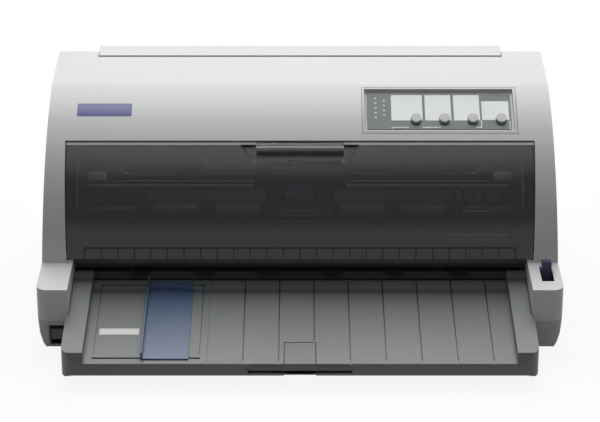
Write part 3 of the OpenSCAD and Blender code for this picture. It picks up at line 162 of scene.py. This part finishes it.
world = bpy.data.worlds.new("studio")
world.use_nodes = True
bpy.context.scene.world = world
tree = world.node_tree
sky = tree.nodes["Background"]
sky.inputs["Color"].default_value = (1, 1, 1, 1)
path = add_node(tree, "ShaderNodeLightPath")
direction = add_node(tree, "ShaderNodeTexCoord")
split = add_node(tree, "ShaderNodeSeparateXYZ")
link(tree, direction.outputs["Generated"], split.inputs[0])
sheen = ramp_node(tree, split.outputs["Z"], SHEEN_Z, SHEEN_LEVEL)
over_fill = math_node(tree, "SUBTRACT", sheen, FILL_LEVEL)
glossy = math_node(tree, "MULTIPLY", path.outputs["Is Glossy Ray"], over_fill)
level = math_node(tree, "ADD", glossy, FILL_LEVEL)
clear = math_node(tree, "MAXIMUM", path.outputs["Is Camera Ray"], path.outputs["Is Transmission Ray"])
rest = math_node(tree, "MULTIPLY", clear, math_node(tree, "SUBTRACT", 1.0, level))
link(tree, math_node(tree, "ADD", level, rest), sky.inputs["Strength"])

FLOOR_HALF = 6.0
FLOOR_WHITE = 0.90          # share of plain white that the eye sees on the floor; the rest keeps the shadow
FLOOR_SEEN, FLOOR_LIT = (0.95, 0.95, 0.95, 1), (0.22, 0.22, 0.22, 1)
floor_mesh = bpy.data.meshes.new("floor")
floor_mesh.from_pydata([(x * FLOOR_HALF, y * FLOOR_HALF, 0) for x, y in ((-1, -1), (1, -1), (1, 1), (-1, 1))],
                       [], [(0, 1, 2, 3)])
floor = bpy.data.objects.new("floor", floor_mesh)
bpy.context.scene.collection.objects.link(floor)
floor_mat = bpy.data.materials.new("pale_floor")
floor_mat.use_nodes = True
tree = floor_mat.node_tree
floor_shader = tree.nodes["Principled BSDF"]
floor_shader.inputs["Roughness"].default_value = 0.9
path = add_node(tree, "ShaderNodeLightPath")
seen = seen_plainly(tree, path)
link(tree, mix_colour(tree, seen, FLOOR_LIT, FLOOR_SEEN), floor_shader.inputs["Base Color"])
white = add_node(tree, "ShaderNodeEmission", Color=(1, 1, 1, 1), Strength=1.0)
floor_mix = add_node(tree, "ShaderNodeMixShader")
link(tree, math_node(tree, "MULTIPLY", seen, FLOOR_WHITE), floor_mix.inputs[0])
link(tree, floor_shader.outputs[0], floor_mix.inputs[1])
link(tree, white.outputs[0], floor_mix.inputs[2])
link(tree, floor_mix.outputs[0], tree.nodes["Material Output"].inputs["Surface"])
floor_mesh.materials.append(floor_mat)
print("studio: light", TOP_LIGHT_W, "W, fill", FILL_LEVEL)

# %% [markdown]
# Moulded plastic isn't one flat colour: it has a spark-eroded grain that breaks up the gloss, and a faint
# drift of tone. That is one shader group, used by every moulding with its own values. The Principled shader
# itself stays in each material.

# %% shader group: moulded grain


def new_group(name, inputs, outputs):
    """An empty shader group with named sockets: inputs and outputs are (name, type, default)."""
    group = bpy.data.node_groups.new(name, "ShaderNodeTree")
    for label, kind, default in inputs:
        socket = group.interface.new_socket(label, in_out="INPUT", socket_type=kind)
        if default is not None:
            socket.default_value = default
    for label, kind in outputs:
        group.interface.new_socket(label, in_out="OUTPUT", socket_type=kind)
    return group, group.nodes.new("NodeGroupInput"), group.nodes.new("NodeGroupOutput")


COLOUR, VALUE, VECTOR = "NodeSocketColor", "NodeSocketFloat", "NodeSocketVector"
GRAIN_RISE = 0.06 * MM
GRAIN_GLOSS_SWING = 0.12
grain_group, g_in, g_out = new_group(
    "moulded_grain",
    [("Color", COLOUR, (0.5, 0.5, 0.5, 1)), ("Tone Drift", VALUE, 0.05), ("Grain Size", VALUE, 0.6),
     ("Grain Depth", VALUE, 0.1), ("Roughness", VALUE, 0.5)],
    [("Color", COLOUR), ("Roughness", VALUE), ("Normal", VECTOR)])
t = grain_group
coords = add_node(t, "ShaderNodeTexCoord")
per_mm = math_node(t, "DIVIDE", 1.0 / MM, g_in.outputs["Grain Size"])
grain = add_node(t, "ShaderNodeTexNoise", Detail=2.0, Roughness=0.5)
drift = add_node(t, "ShaderNodeTexNoise", Scale=9.0, Detail=3.0)
link(t, coords.outputs["Object"], grain.inputs["Vector"])
link(t, coords.outputs["Object"], drift.inputs["Vector"])
link(t, per_mm, grain.inputs["Scale"])
tone = mix_colour(t, math_node(t, "MULTIPLY", drift.outputs["Fac"], g_in.outputs["Tone Drift"]),
                  g_in.outputs["Color"], (0.0, 0.0, 0.0, 1))
bump = add_node(t, "ShaderNodeBump", Distance=GRAIN_RISE)
link(t, grain.outputs["Fac"], bump.inputs["Height"])
link(t, g_in.outputs["Grain Depth"], bump.inputs["Strength"])
swing = math_node(t, "MULTIPLY", math_node(t, "SUBTRACT", grain.outputs["Fac"], 0.5), GRAIN_GLOSS_SWING)
rough = math_node(t, "ADD", g_in.outputs["Roughness"], swing)
link(t, tone, g_out.inputs["Color"])
link(t, rough, g_out.inputs["Roughness"])
link(t, bump.outputs["Normal"], g_out.inputs["Normal"])
print("group:", grain_group.name)

# %% [markdown]
# Sheet metal, shafts and cast parts share a second group: long fine streaks along one axis, which brushing,
# grinding or drawing leaves, and a slow change of gloss.

# %% shader group: worked metal
STREAK_RISE = 0.05 * MM
STREAK_SHADE = 0.25
METAL_GLOSS_SWING = 0.25
metal_group, m_in, m_out = new_group(
    "worked_metal",
    [("Color", COLOUR, (0.6, 0.6, 0.6, 1)), ("Streak", VECTOR, (1.0, 40.0, 40.0)), ("Depth", VALUE, 0.1),
     ("Roughness", VALUE, 0.3)],
    [("Color", COLOUR), ("Roughness", VALUE), ("Normal", VECTOR)])
t = metal_group
coords = add_node(t, "ShaderNodeTexCoord")
stretch = add_node(t, "ShaderNodeVectorMath", operation="MULTIPLY")
link(t, coords.outputs["Object"], stretch.inputs[0])
link(t, m_in.outputs["Streak"], stretch.inputs[1])
streaks = add_node(t, "ShaderNodeTexNoise", Scale=30.0, Detail=4.0)
clouds = add_node(t, "ShaderNodeTexNoise", Scale=25.0, Detail=2.0)
link(t, stretch.outputs[0], streaks.inputs["Vector"])
link(t, coords.outputs["Object"], clouds.inputs["Vector"])
shade = mix_colour(t, math_node(t, "MULTIPLY", streaks.outputs["Fac"], STREAK_SHADE),
                   m_in.outputs["Color"], (0.15, 0.15, 0.15, 1))
swing = math_node(t, "MULTIPLY", math_node(t, "SUBTRACT", clouds.outputs["Fac"], 0.5), METAL_GLOSS_SWING)
rough = math_node(t, "ADD", m_in.outputs["Roughness"], swing)
bump = add_node(t, "ShaderNodeBump", Distance=STREAK_RISE)
link(t, streaks.outputs["Fac"], bump.inputs["Height"])
link(t, m_in.outputs["Depth"], bump.inputs["Strength"])
link(t, shade, m_out.inputs["Color"])
link(t, rough, m_out.inputs["Roughness"])
link(t, bump.outputs["Normal"], m_out.inputs["Normal"])
print("group:", metal_group.name)

# %% [markdown]
# A roller is a steel shaft with rubber on it. Both are one solid in the model, so a mask tells them apart
# by the distance from the roller's axis: beyond the shaft's radius it is rubber.

# %% shader group: distance from a roller's axis
roller_group, r_in, r_out = new_group(
    "roller_mask", [("Axis Y", VALUE, 0.0), ("Axis Z", VALUE, 0.0), ("Shaft Radius", VALUE, 0.003)],
    [("Rubber", VALUE)])
t = roller_group
coords = add_node(t, "ShaderNodeTexCoord")
split = add_node(t, "ShaderNodeSeparateXYZ")
link(t, coords.outputs["Object"], split.inputs[0])
off_y = math_node(t, "SUBTRACT", split.outputs["Y"], r_in.outputs["Axis Y"])
off_z = math_node(t, "SUBTRACT", split.outputs["Z"], r_in.outputs["Axis Z"])
reach = math_node(t, "SQRT", math_node(t, "ADD", math_node(t, "MULTIPLY", off_y, off_y),
                                       math_node(t, "MULTIPLY", off_z, off_z)), 0)
link(t, math_node(t, "GREATER_THAN", reach, r_in.outputs["Shaft Radius"]), r_out.inputs["Rubber"])
print("group:", roller_group.name)

# %% [markdown]
# Each material is one group with its own values on a Principled shader. The case is a light grey moulding
# with a cool cast, the foot is a darker grey, and the tray is dark grey. The levels were chosen so that
# each face comes out at the tone it has in the photograph under this light.

# %% materials


def finish(name, group, values, **shader):
    """A material: the group with its own values feeds a Principled shader, whose other sockets are plain."""
    mat = bpy.data.materials.new(name)
    mat.use_nodes = True
    tree = mat.node_tree
    bsdf = tree.nodes["Principled BSDF"]
    node = tree.nodes.new("ShaderNodeGroup")
    node.node_tree = group
    for label, value in values.items():
        node.inputs[label].default_value = value
    for out, socket in (("Color", "Base Color"), ("Roughness", "Roughness"), ("Normal", "Normal")):
        link(tree, node.outputs[out], bsdf.inputs[socket])
    for label, value in shader.items():
        bsdf.inputs[label.replace("_", " ")].default_value = value
    return mat


def grey(level, tint=(1, 1, 1)):
    """A colour of one level, tinted."""
    return (*(level * c for c in tint), 1)


def plastic(name, colour, roughness=0.5, grain=0.7, depth=0.15, drift=0.06, **shader):
    """A moulding: its grain in millimetres, the grain's depth and the drift of its tone."""
    return finish(name, grain_group, {
        "Color": colour, "Tone Drift": drift, "Grain Size": grain, "Grain Depth": depth,
        "Roughness": roughness}, **shader)


def metal(name, colour, roughness=0.3, streak=(1.0, 40.0, 40.0), depth=0.1, metallic=1.0, **shader):
    """Worked metal with streaks that are long where the streak's value is small."""
    return finish(name, metal_group, {
        "Color": colour, "Streak": streak, "Depth": depth, "Roughness": roughness},
        Metallic=metallic, **shader)


CASE_GREY = grey(0.765, (0.98, 1, 1))
case_plastic = plastic("case_plastic", CASE_GREY, 0.50, 0.8, 0.10, 0.05)
foot_plastic = plastic("foot_plastic", grey(0.56, (0.98, 1, 1)), 0.5, 0.8, 0.12, 0.06)
lid_plastic = plastic("lid_plastic", grey(0.75), 0.5, 0.8, 0.10, 0.05)
tray_plastic = plastic("tray_plastic", grey(0.19, (0.94, 1, 1.02)), 0.45, 0.9, 0.22, 0.08)
latch_plastic = plastic("latch_plastic", grey(0.16, (0.94, 1, 1.02)), 0.42, 0.9, 0.2, 0.08)
guide_plastic = plastic("guide_plastic", (0.070, 0.120, 0.22, 1), 0.38, 0.7, 0.12, 0.06)
bezel_plastic = plastic("bezel_plastic", grey(0.66, (0.98, 1, 1)), 0.42, 0.7, 0.1, 0.05)
film_print = plastic("film_print", (0.068, 0.092, 0.083, 1), 0.35, 0.5, 0.05, 0.04)
print_white = plastic("print_white", (0.90, 0.94, 0.93, 1), 0.45, 0.5, 0.03, 0.04)
button_plastic = plastic("button_plastic", grey(0.55), 0.4, 0.5, 0.1, 0.04)
blue_enamel = plastic("blue_enamel", (0.045, 0.045, 0.27, 1), 0.25, 0.8, 0.05, 0.05)
plate_plastic = plastic("plate_plastic", grey(0.16), 0.35, 0.6, 0.05, 0.05)
black_plastic = plastic("black_plastic", grey(0.02), 0.4, 0.7, 0.15, 0.1)
head_black = plastic("head_black", grey(0.035), 0.45, 0.8, 0.15, 0.1)
lever_plastic = plastic("lever_plastic", (0.04, 0.042, 0.12, 1), 0.4, 0.6, 0.12, 0.05)
acetal = plastic("acetal", (0.72, 0.68, 0.55, 1), 0.35, 0.9, 0.05, 0.08, Subsurface_Weight=0.1)
rubber_black = plastic("rubber_black", grey(0.03), 0.75, 0.5, 0.3, 0.15)
label_white = plastic("label_white", grey(0.8), 0.5, 0.5, 0.03, 0.04)
cable_white = plastic("cable_white", (0.82, 0.84, 0.82, 1), 0.45, 1.2, 0.1, 0.05)
laminate = plastic("laminate", (0.02, 0.10, 0.045, 1), 0.35, 1.5, 0.15, 0.35)
ribbon_cloth = plastic("ribbon_cloth", grey(0.012), 0.85, 0.35, 0.6, 0.2)
yellow_print = plastic("yellow_print", (0.62, 0.50, 0.10, 1), 0.4, 0.6, 0.05, 0.2)
blue_print = plastic("blue_print", (0.10, 0.22, 0.55, 1), 0.4, 0.6, 0.05, 0.1)
galvanised = metal("galvanised", grey(0.30, (0.98, 1, 1)), 0.5, (3.0, 3.0, 3.0), 0.08)
black_sheet = metal("black_sheet", grey(0.03), 0.6, (1.0, 6.0, 6.0), 0.01, 0.0)
ground_steel = metal("ground_steel", grey(0.75), 0.16, (60.0, 2.0, 2.0), 0.05)
motor_can = metal("motor_can", grey(0.2), 0.35, (2.0, 30.0, 30.0), 0.1)
cast_alloy = metal("cast_alloy", grey(0.22), 0.45, (20.0, 20.0, 20.0), 0.25)
dull_brass = metal("dull_brass", (0.40, 0.30, 0.14, 1), 0.3, (2.0, 40.0, 40.0), 0.06)


def roller(name, shaft_mm):
    """Rubber and steel in one material, parted by the roller mask round the node's own axis."""
    _, depth, height = node_middle(name)
    mat = plastic(name + "_finish", grey(0.045), 0.65, 0.5, 0.1, 0.15)
    tree = mat.node_tree
    bsdf = tree.nodes["Principled BSDF"]
    mask = tree.nodes.new("ShaderNodeGroup")
    mask.node_tree = roller_group
    for label, value in (("Axis Y", depth + FOOT_Y), ("Axis Z", height), ("Shaft Radius", shaft_mm)):
        mask.inputs[label].default_value = value * MM
    rubber = bsdf.inputs["Base Color"].links[0].from_socket
    link(tree, mix_colour(tree, mask.outputs[0], grey(0.7), rubber), bsdf.inputs["Base Color"])
    link(tree, math_node(tree, "SUBTRACT", 1.0, mask.outputs[0]), bsdf.inputs["Metallic"])
    return mat


# for each roller a radius just over its shaft's, in mm
ROLLERS = {
    "platen": 4.5, "front_feed_roller": 3.4, "rear_feed_roller": 3.4,
    "front_pinch_roller": 3.4, "rear_pinch_roller": 3.4,
}
print("materials:", len(bpy.data.materials))

# %% [markdown]
# The cover is a clear plastic with a dark tint, and its lower part is opaque black inside. Real refraction
# would leave the room behind it black, because a path tracer lets little light through a refracting shell.
# A plain see-through shader whose Alpha follows the height lets the light in and still carries the gloss of
# the surface.

# %% smoke plastic
SMOKE_ALPHA = (0.97, 0.42)          # share that is solid, below and above the step
SMOKE_STEP_MM = (92, 100)
smoke = plastic("smoke_plastic", (0.034, 0.037, 0.037, 1), 0.10, 2.0, 0.01, 0.05,
                Coat_Weight=1.0, Coat_Roughness=0.04, Coat_IOR=1.9)
tree = smoke.node_tree
coords = add_node(tree, "ShaderNodeTexCoord")
split = add_node(tree, "ShaderNodeSeparateXYZ")
link(tree, coords.outputs["Object"], split.inputs[0])
alpha = ramp_node(tree, split.outputs["Z"], tuple(z * MM for z in SMOKE_STEP_MM), SMOKE_ALPHA)
smoke_solid = plastic("smoke_solid", (0.022, 0.024, 0.024, 1), 0.3, 1.0, 0.03, 0.05)
# painted highlight: between these heights the cover turns a lighter, solid grey, standing in for the light
# that its rounded top edge catches
RIM_HIGHLIGHT_MM = (158.2, 159.0, 160.0, 160.8)   # heights between which the rounded top edge catches the light
RIM_HIGHLIGHT_GREY = grey(0.34)
rise = ramp_node(tree, split.outputs["Z"], (RIM_HIGHLIGHT_MM[0] * MM, RIM_HIGHLIGHT_MM[1] * MM))
fall = ramp_node(tree, split.outputs["Z"], (RIM_HIGHLIGHT_MM[2] * MM, RIM_HIGHLIGHT_MM[3] * MM))
rim_highlight = math_node(tree, "SUBTRACT", rise, fall)
bsdf = tree.nodes["Principled BSDF"]
plain = bsdf.inputs["Base Color"].links[0].from_socket
link(tree, mix_colour(tree, rim_highlight, plain, RIM_HIGHLIGHT_GREY), bsdf.inputs["Base Color"])
link(tree, math_node(tree, "MAXIMUM", alpha, rim_highlight), bsdf.inputs["Alpha"])
print("alpha of the smoke plastic:", SMOKE_ALPHA)

# %% [markdown]
# Every node gets its finish here. Mouldings also get a small live bevel: a mould can't make a knife edge,
# and the round edge is what catches the light.

# %% dress the nodes
FINISHES = {
    "lower_case": foot_plastic, "upper_case": case_plastic, "rubber_feet": rubber_black,
    "chassis_screws": ground_steel, "printer_cover": smoke, "cover_plate": plate_plastic,
    "rear_cover": lid_plastic, "front_tray": tray_plastic, "edge_guide": guide_plastic,
    "scale_label": label_white, "tray_latch": latch_plastic, "panel_bezel": bezel_plastic,
    "panel_label": film_print, "panel_board": laminate, "status_lamps": label_white,
    "badge_plate": blue_enamel, "switch_body": black_plastic, "power_rocker": black_plastic,
    "release_lever": lever_plastic, "base_chassis": galvanised, "side_frame_left": galvanised,
    "side_frame_right": galvanised, "top_brace": galvanised, "front_paper_guide": black_sheet,
    "rear_paper_guide": black_sheet, "front_rail": black_sheet,
    "feed_motor": motor_can, "motor_pinion": dull_brass, "carriage_shaft": ground_steel,
    "carriage": head_black, "print_head": cast_alloy, "ribbon_cartridge": head_black,
    "ribbon": ribbon_cloth, "carriage_belt": rubber_black, "carriage_motor": motor_can,
    "motor_pulley": head_black, "idler_pulley": head_black, "head_cable": cable_white,
    "main_board": laminate, "power_supply": galvanised, "rear_connectors": ground_steel,
    "ac_inlet": black_plastic, "tractor_shaft": ground_steel, "tractor_rod": ground_steel,
    "tractor_left": head_black, "tractor_right": head_black,
}
EDGE_MM = {
    "upper_case": 0.9, "lower_case": 0.8, "rear_cover": 0.8, "front_tray": 0.6, "tray_latch": 0.3,
    "edge_guide": 0.25, "printer_cover": 0.4, "panel_bezel": 0.5, "release_lever": 0.8,
    "power_rocker": 0.5, "switch_body": 0.3, "print_head": 0.4, "carriage": 0.5,
    "ribbon_cartridge": 0.6, "badge_plate": 0.15, "cover_plate": 0.12, "ac_inlet": 0.4,
}
MERGE_M = 1e-5
SHARP_ANGLE = math.radians(38)


def soften(obj, width_mm, segments=2):
    """Rounds the sharp edges of a node by a bevel over its merged corners, and smooths its shading."""
    weld = obj.modifiers.new("merge_corners", "WELD")
    weld.merge_threshold = MERGE_M
    bevel = obj.modifiers.new("round_edges", "BEVEL")
    bevel.width, bevel.segments = width_mm * MM, segments
    bevel.limit_method, bevel.angle_limit = "ANGLE", SHARP_ANGLE
    bevel.use_clamp_overlap = True
    bevel.harden_normals = False
    smooth = obj.modifiers.new("even_shading", "WEIGHTED_NORMAL")
    smooth.keep_sharp = True


for name, obj in nodes.items():
    if name.startswith("button_"):
        mat = button_plastic
    elif name.endswith("_gear"):
        mat = acetal
    elif name in ROLLERS:
        mat = roller(name, ROLLERS[name])
    else:
        mat = FINISHES[name]
    obj.data.materials.clear()
    obj.data.materials.append(mat)
    if name in EDGE_MM:
        soften(obj, EDGE_MM[name])
print("dressed:", len(nodes))

# %% [markdown]
# The small pieces are built from two forms. A block set is many flat boxes in one mesh, laid in any slanted
# plane. A band along x is a thin shell whose section is an outer and an inner line of equal length.

# %% two building forms


def piece(name, points, faces, mat, body):
    """A mesh in the shared frame that rides on a body; points are in mm, the depth from the foot."""
    place = np.asarray(points, float).reshape(-1, 3).copy()
    place[:, 1] += FOOT_Y
    mesh = bpy.data.meshes.new(name)
    mesh.from_pydata((place * MM).tolist(), [], np.asarray(faces).tolist())
    mesh.validate()
    mesh.update()
    mesh.materials.append(mat)
    obj = bpy.data.objects.new(name, mesh)
    bpy.context.scene.collection.objects.link(obj)
    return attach(obj, body)


BOX_FACES = np.array([[0, 2, 3, 1], [4, 5, 7, 6], [0, 1, 5, 4], [2, 6, 7, 3], [0, 4, 6, 2], [1, 3, 7, 5]])


def blocks(name, boxes, mat, body, origin=(0, 0, 0), tilt=0.0):
    """Boxes (u0, u1, v0, v1, w0, w1) in a plane tilted about x.

    A corner is the origin + u across + v up the slope + w out of the plane.
    """
    low = np.asarray(boxes, float)
    pick = np.array([[i, j, k] for i in (0, 1) for j in (0, 1) for k in (0, 1)])
    u, v, w = (low[:, 2 * a][:, None] * (1 - pick[:, a]) + low[:, 2 * a + 1][:, None] * pick[:, a]
               for a in range(3))
    c, s = math.cos(tilt), math.sin(tilt)
    points = np.stack([u, v * c - w * s, v * s + w * c], -1) + np.asarray(origin, float)
    faces = BOX_FACES[None] + 8 * np.arange(len(low))[:, None, None]
    return piece(name, points, faces.reshape(-1, 4), mat, body)


def bands(name, outer, inner, spans, mat, body):
    """Shells along x: outer and inner lines of (depth, height), one closed shell for each span (x0, x1)."""
    outer, inner = np.asarray(outer, float), np.asarray(inner, float)
    n = len(outer)
    ring = np.concatenate([outer, inner[::-1]])
    m = len(ring)
    ends = np.asarray(spans, float)
    points = np.zeros((len(ends), 2, m, 3))
    points[..., 0] = ends[:, :, None]
    points[..., 1:] = ring
    i = np.arange(m)
    j = (i + 1) % m
    sides = np.stack([i, j, j + m, i + m], -1)
    k = np.arange(n - 1)
    cap = np.stack([k, m - 1 - k, m - 2 - k, k + 1], -1)
    one = np.concatenate([sides, cap, cap[:, ::-1] + m])
    faces = one[None] + 2 * m * np.arange(len(ends))[:, None, None]
    return piece(name, points, faces.reshape(-1, 4), mat, body)


BARREL = (230.09, 29.30, 173.4)     # depth and height of the barrel's axis, and its radius


def barrel_line(z0, z1, out, count=12):
    """Points on the barrel front between two heights, moved out by some mm.

    The depth is the axis's depth - sqrt(radius^2 - height over the axis^2).
    """
    z = np.linspace(z0, z1, count)
    return np.stack([BARREL[0] - np.sqrt((BARREL[2] + out) ** 2 - (z - BARREL[1]) ** 2), z], -1)


print("forms ready: blocks, bands")

# %% [markdown]
# The cover ends in a thin skirt between the walls of the tray's gap, and a row of shallow ribs runs along
# its foot. The skirt hides the gap under the cover and turns with it inside the mouth. The ribs stiffen the
# edge that the cover turns on. They stand 0.3 mm proud, at an even pitch.

# %% the cover's foot
SKIRT_OUT = [(60.5, 66.3), (60.4, 62), (60.9, 59), (62.4, 57.6), (65, 57.2)]
SKIRT_IN = [(62.0, 66.3), (61.9, 62), (62.3, 60), (63.2, 59), (65, 58.6)]
SKIRT_HALF = 210.0
COVER_HALF = 200.0
bands("cover_skirt", SKIRT_OUT, SKIRT_IN, [(-SKIRT_HALF, SKIRT_HALF)], smoke_solid, "smoke_cover")
RIB_PITCH, RIB_W, RIB_PROUD, RIB_SIDE = 15.4, 1.3, 0.3, 13
RIB_Z, RIB_LINE_Z = (66.6, 76.0), (75.6, 77.0)
rib_x = RIB_PITCH * np.arange(-RIB_SIDE, RIB_SIDE + 1)
bands("cover_ribs", barrel_line(*RIB_Z, RIB_PROUD), barrel_line(*RIB_Z, -RIB_PROUD),
      np.stack([rib_x - RIB_W / 2, rib_x + RIB_W / 2], -1), smoke_solid, "smoke_cover")
bands("cover_rib_line", barrel_line(*RIB_LINE_Z, RIB_PROUD, 3), barrel_line(*RIB_LINE_Z, -RIB_PROUD, 3),
      [(-COVER_HALF, COVER_HALF)], smoke_solid, "smoke_cover")
print("ribs:", len(rib_x))

# %% [markdown]
# The control panel is a printed film: pale fields under the four buttons, on grey-green, with fine pale
# lines. On the real printer this is screen printing. Here it is pale blocks 0.06 mm thick on the film,
# without words. The film's own node gives its place and its tilt.

# %% the panel's print
film = node_points("panel_label")
front, rear = film[film[:, 1].argmin()], film[film[:, 2].argmax()]     # the two ends of the film's face
PANEL_TILT = math.atan2(rear[2] - front[2], rear[1] - front[1])
PANEL_ORIGIN = (node_middle("panel_label")[0], *(front[1:] + rear[1:]) / 2)
PRINT_T = 0.06
# (u0, u1, v0, v1) in mm: across the film and up its slope, from the middle of its face
FIELDS = [(-45.2, -15.7, -11.15, 20.65), (-13.3, 11.4, -11.15, 20.65), (13.8, 38.5, -11.15, 20.65),
          (40.4, 66.1, -10.45, 12.85)]
LINES = [(-45, -29, -20.05, -19.25), (-16, 1, -20.05, -19.25), (34, 39.6, -20.05, -19.25),
         (39.2, 39.9, -20.05, -10.75), (-45, -44.3, -21.35, -19.25), (66.0, 66.7, -22.25, -11.75)]
BUTTON_X = [node_middle(f"button_{i}")[0] - PANEL_ORIGIN[0] for i in range(1, 5)]
BUTTON_V, BUTTON_HOLE = -9.75, 5.2


def flat(rects, lift=PRINT_T):
    """Rectangles of the print, given a thickness above the film."""
    return [(*rect, 0, lift) for rect in rects]


def round_buttons(rects, r=BUTTON_HOLE, centre=BUTTON_V, slices=14):
    """Cuts round holes for the buttons: slices of a rectangle end at half chord = sqrt(r^2 - distance^2)."""
    out = []
    for u0, u1, v0, v1 in rects:
        b = next((b for b in BUTTON_X if b + r > u0 and b - r < u1), None)
        if b is None:
            out.append((u0, u1, v0, v1))
            continue
        cuts = np.clip(np.linspace(b - r, b + r, slices + 1), u0, u1)
        away = np.minimum(abs(cuts[:-1] - b), abs(cuts[1:] - b))
        chord = np.sqrt(np.maximum(r * r - away ** 2, 0))
        out += [(u0, cuts[0], v0, v1), (cuts[-1], u1, v0, v1)]
        out += [(a, c, centre + h, v1) for a, c, h in zip(cuts[:-1], cuts[1:], chord)]
        out += [(a, c, v0, centre - h) for a, c, h in zip(cuts[:-1], cuts[1:], chord)]
    return [rect for rect in out if rect[1] - rect[0] > 0.01 and rect[3] - rect[2] > 0.01]


blocks("panel_print", flat(round_buttons(FIELDS) + LINES), print_white, "housing", PANEL_ORIGIN, PANEL_TILT)
print("print rectangles:", len(round_buttons(FIELDS) + LINES))

# %% [markdown]
# Behind the smoke plastic the head carries a blue strip at its top and a yellow strip below, and the carriage
# is dark. These strips are stuck on the real head; here they are thin blocks. Two fine pale lines on the
# carriage are painted highlights, standing in for light caught along its edges.

# %% strips on the print head
STRIP_GAP = 0.1


def strip_faces(name, thickness):
    """Depths of a strip's two faces, just before the foremost point of a node."""
    rear_face = node_points(name)[:, 1].min() - STRIP_GAP
    return rear_face - thickness, rear_face


HEAD_FACE, CARRIAGE_FACE = strip_faces("print_head", 0.5), strip_faces("carriage", 0.6)
# (x0, x1, depths, z0, z1) in mm
blocks("head_strip", [(-11.5, 11.5, *HEAD_FACE, 113.8, 118.4)], blue_print, "head_carriage")
blocks("carriage_strip", [(-16, 16, *CARRIAGE_FACE, 96.0, 99.6)], yellow_print, "head_carriage")
# painted highlights: two fine pale lines on the carriage's face stand in for light caught along its edges
blocks("carriage_edge_highlights", [(-17.5, 17.5, *CARRIAGE_FACE, 92.0, 92.9), (-19, 19, *CARRIAGE_FACE, 86.0, 86.9)],
       label_white, "head_carriage")
print("depths of the strips:", np.round((*HEAD_FACE, *CARRIAGE_FACE), 2))

# %% [markdown]
# The tray's floor has shallow grooves, and two seams bound the guide's field. Black blocks laid in them are
# painted shade: they darken the grooves and seams as the shade that falls in them would.
# Under the spring latch a thin black sheet is a painted shadow: it darkens the slit below the latch as the
# shade under the tray would. The lip runs on under the finger bar.

# %% lines of the tray
TRAY_REAR, TRAY_FRONT = (74.0, 38.0), (-66.0, 22.0)     # ends of the floor: depth and height
TRAY_SLOPE = math.atan2(TRAY_REAR[1] - TRAY_FRONT[1], TRAY_REAR[0] - TRAY_FRONT[0])
LINE_W, LINE_LOW, LINE_TOP = 0.8, -0.5, 0.04
SEAM_X, GROOVE_X = (-185, -90), [45 + 32 * i for i in range(-3, 5)]
# where a line begins and ends, along the floor from its rear edge; the latch's tongue cuts one groove short
SEAM_RUN, GROOVE_RUN, SHORT_RUN = (-126, -6), (-133, -2), (-100, -2)
LATCH_BAR_HALF, LATCH_HALF = 47.0, 17.0


def groove_shade(x, run):
    """The block of painted shade in one groove or seam, with its middle at x."""
    return (x - LINE_W / 2, x + LINE_W / 2, *run, LINE_LOW, LINE_TOP)


seams = [groove_shade(x, SEAM_RUN) for x in SEAM_X]
grooves = [groove_shade(x, SHORT_RUN if abs(x) < LATCH_HALF else GROOVE_RUN) for x in GROOVE_X]
# painted shade: black blocks in the floor's grooves and seams darken them as the shade in them would
blocks("tray_groove_shade", seams + grooves, black_plastic, "tray", (0, *TRAY_REAR), TRAY_SLOPE)
TRAY_LOW, SHADOW_SHEET_T, BRIDGE_T = 11.0, 0.4, 0.8
BRIDGE_HALF = LATCH_HALF - 1
LIP_FRONT, BAR_FRONT, BAR_REAR, TONGUE_REAR = -66, -64.5, -50, -6     # depths from the foot
shadow_sheet_z = (TRAY_LOW, TRAY_LOW + SHADOW_SHEET_T)
# painted shadow: a thin black sheet below the latch darkens the slit as the shade under the tray would
blocks("latch_shadow_sheet", [(-LATCH_BAR_HALF, LATCH_BAR_HALF, BAR_FRONT, BAR_REAR, *shadow_sheet_z),
                        (-LATCH_HALF, LATCH_HALF, BAR_REAR, TONGUE_REAR, *shadow_sheet_z)], black_plastic, "tray")
blocks("lip_bridge", [(-BRIDGE_HALF, BRIDGE_HALF, LIP_FRONT, BAR_FRONT, TRAY_LOW, TRAY_LOW + BRIDGE_T)],
       tray_plastic, "tray")
print("grooves:", len(grooves))
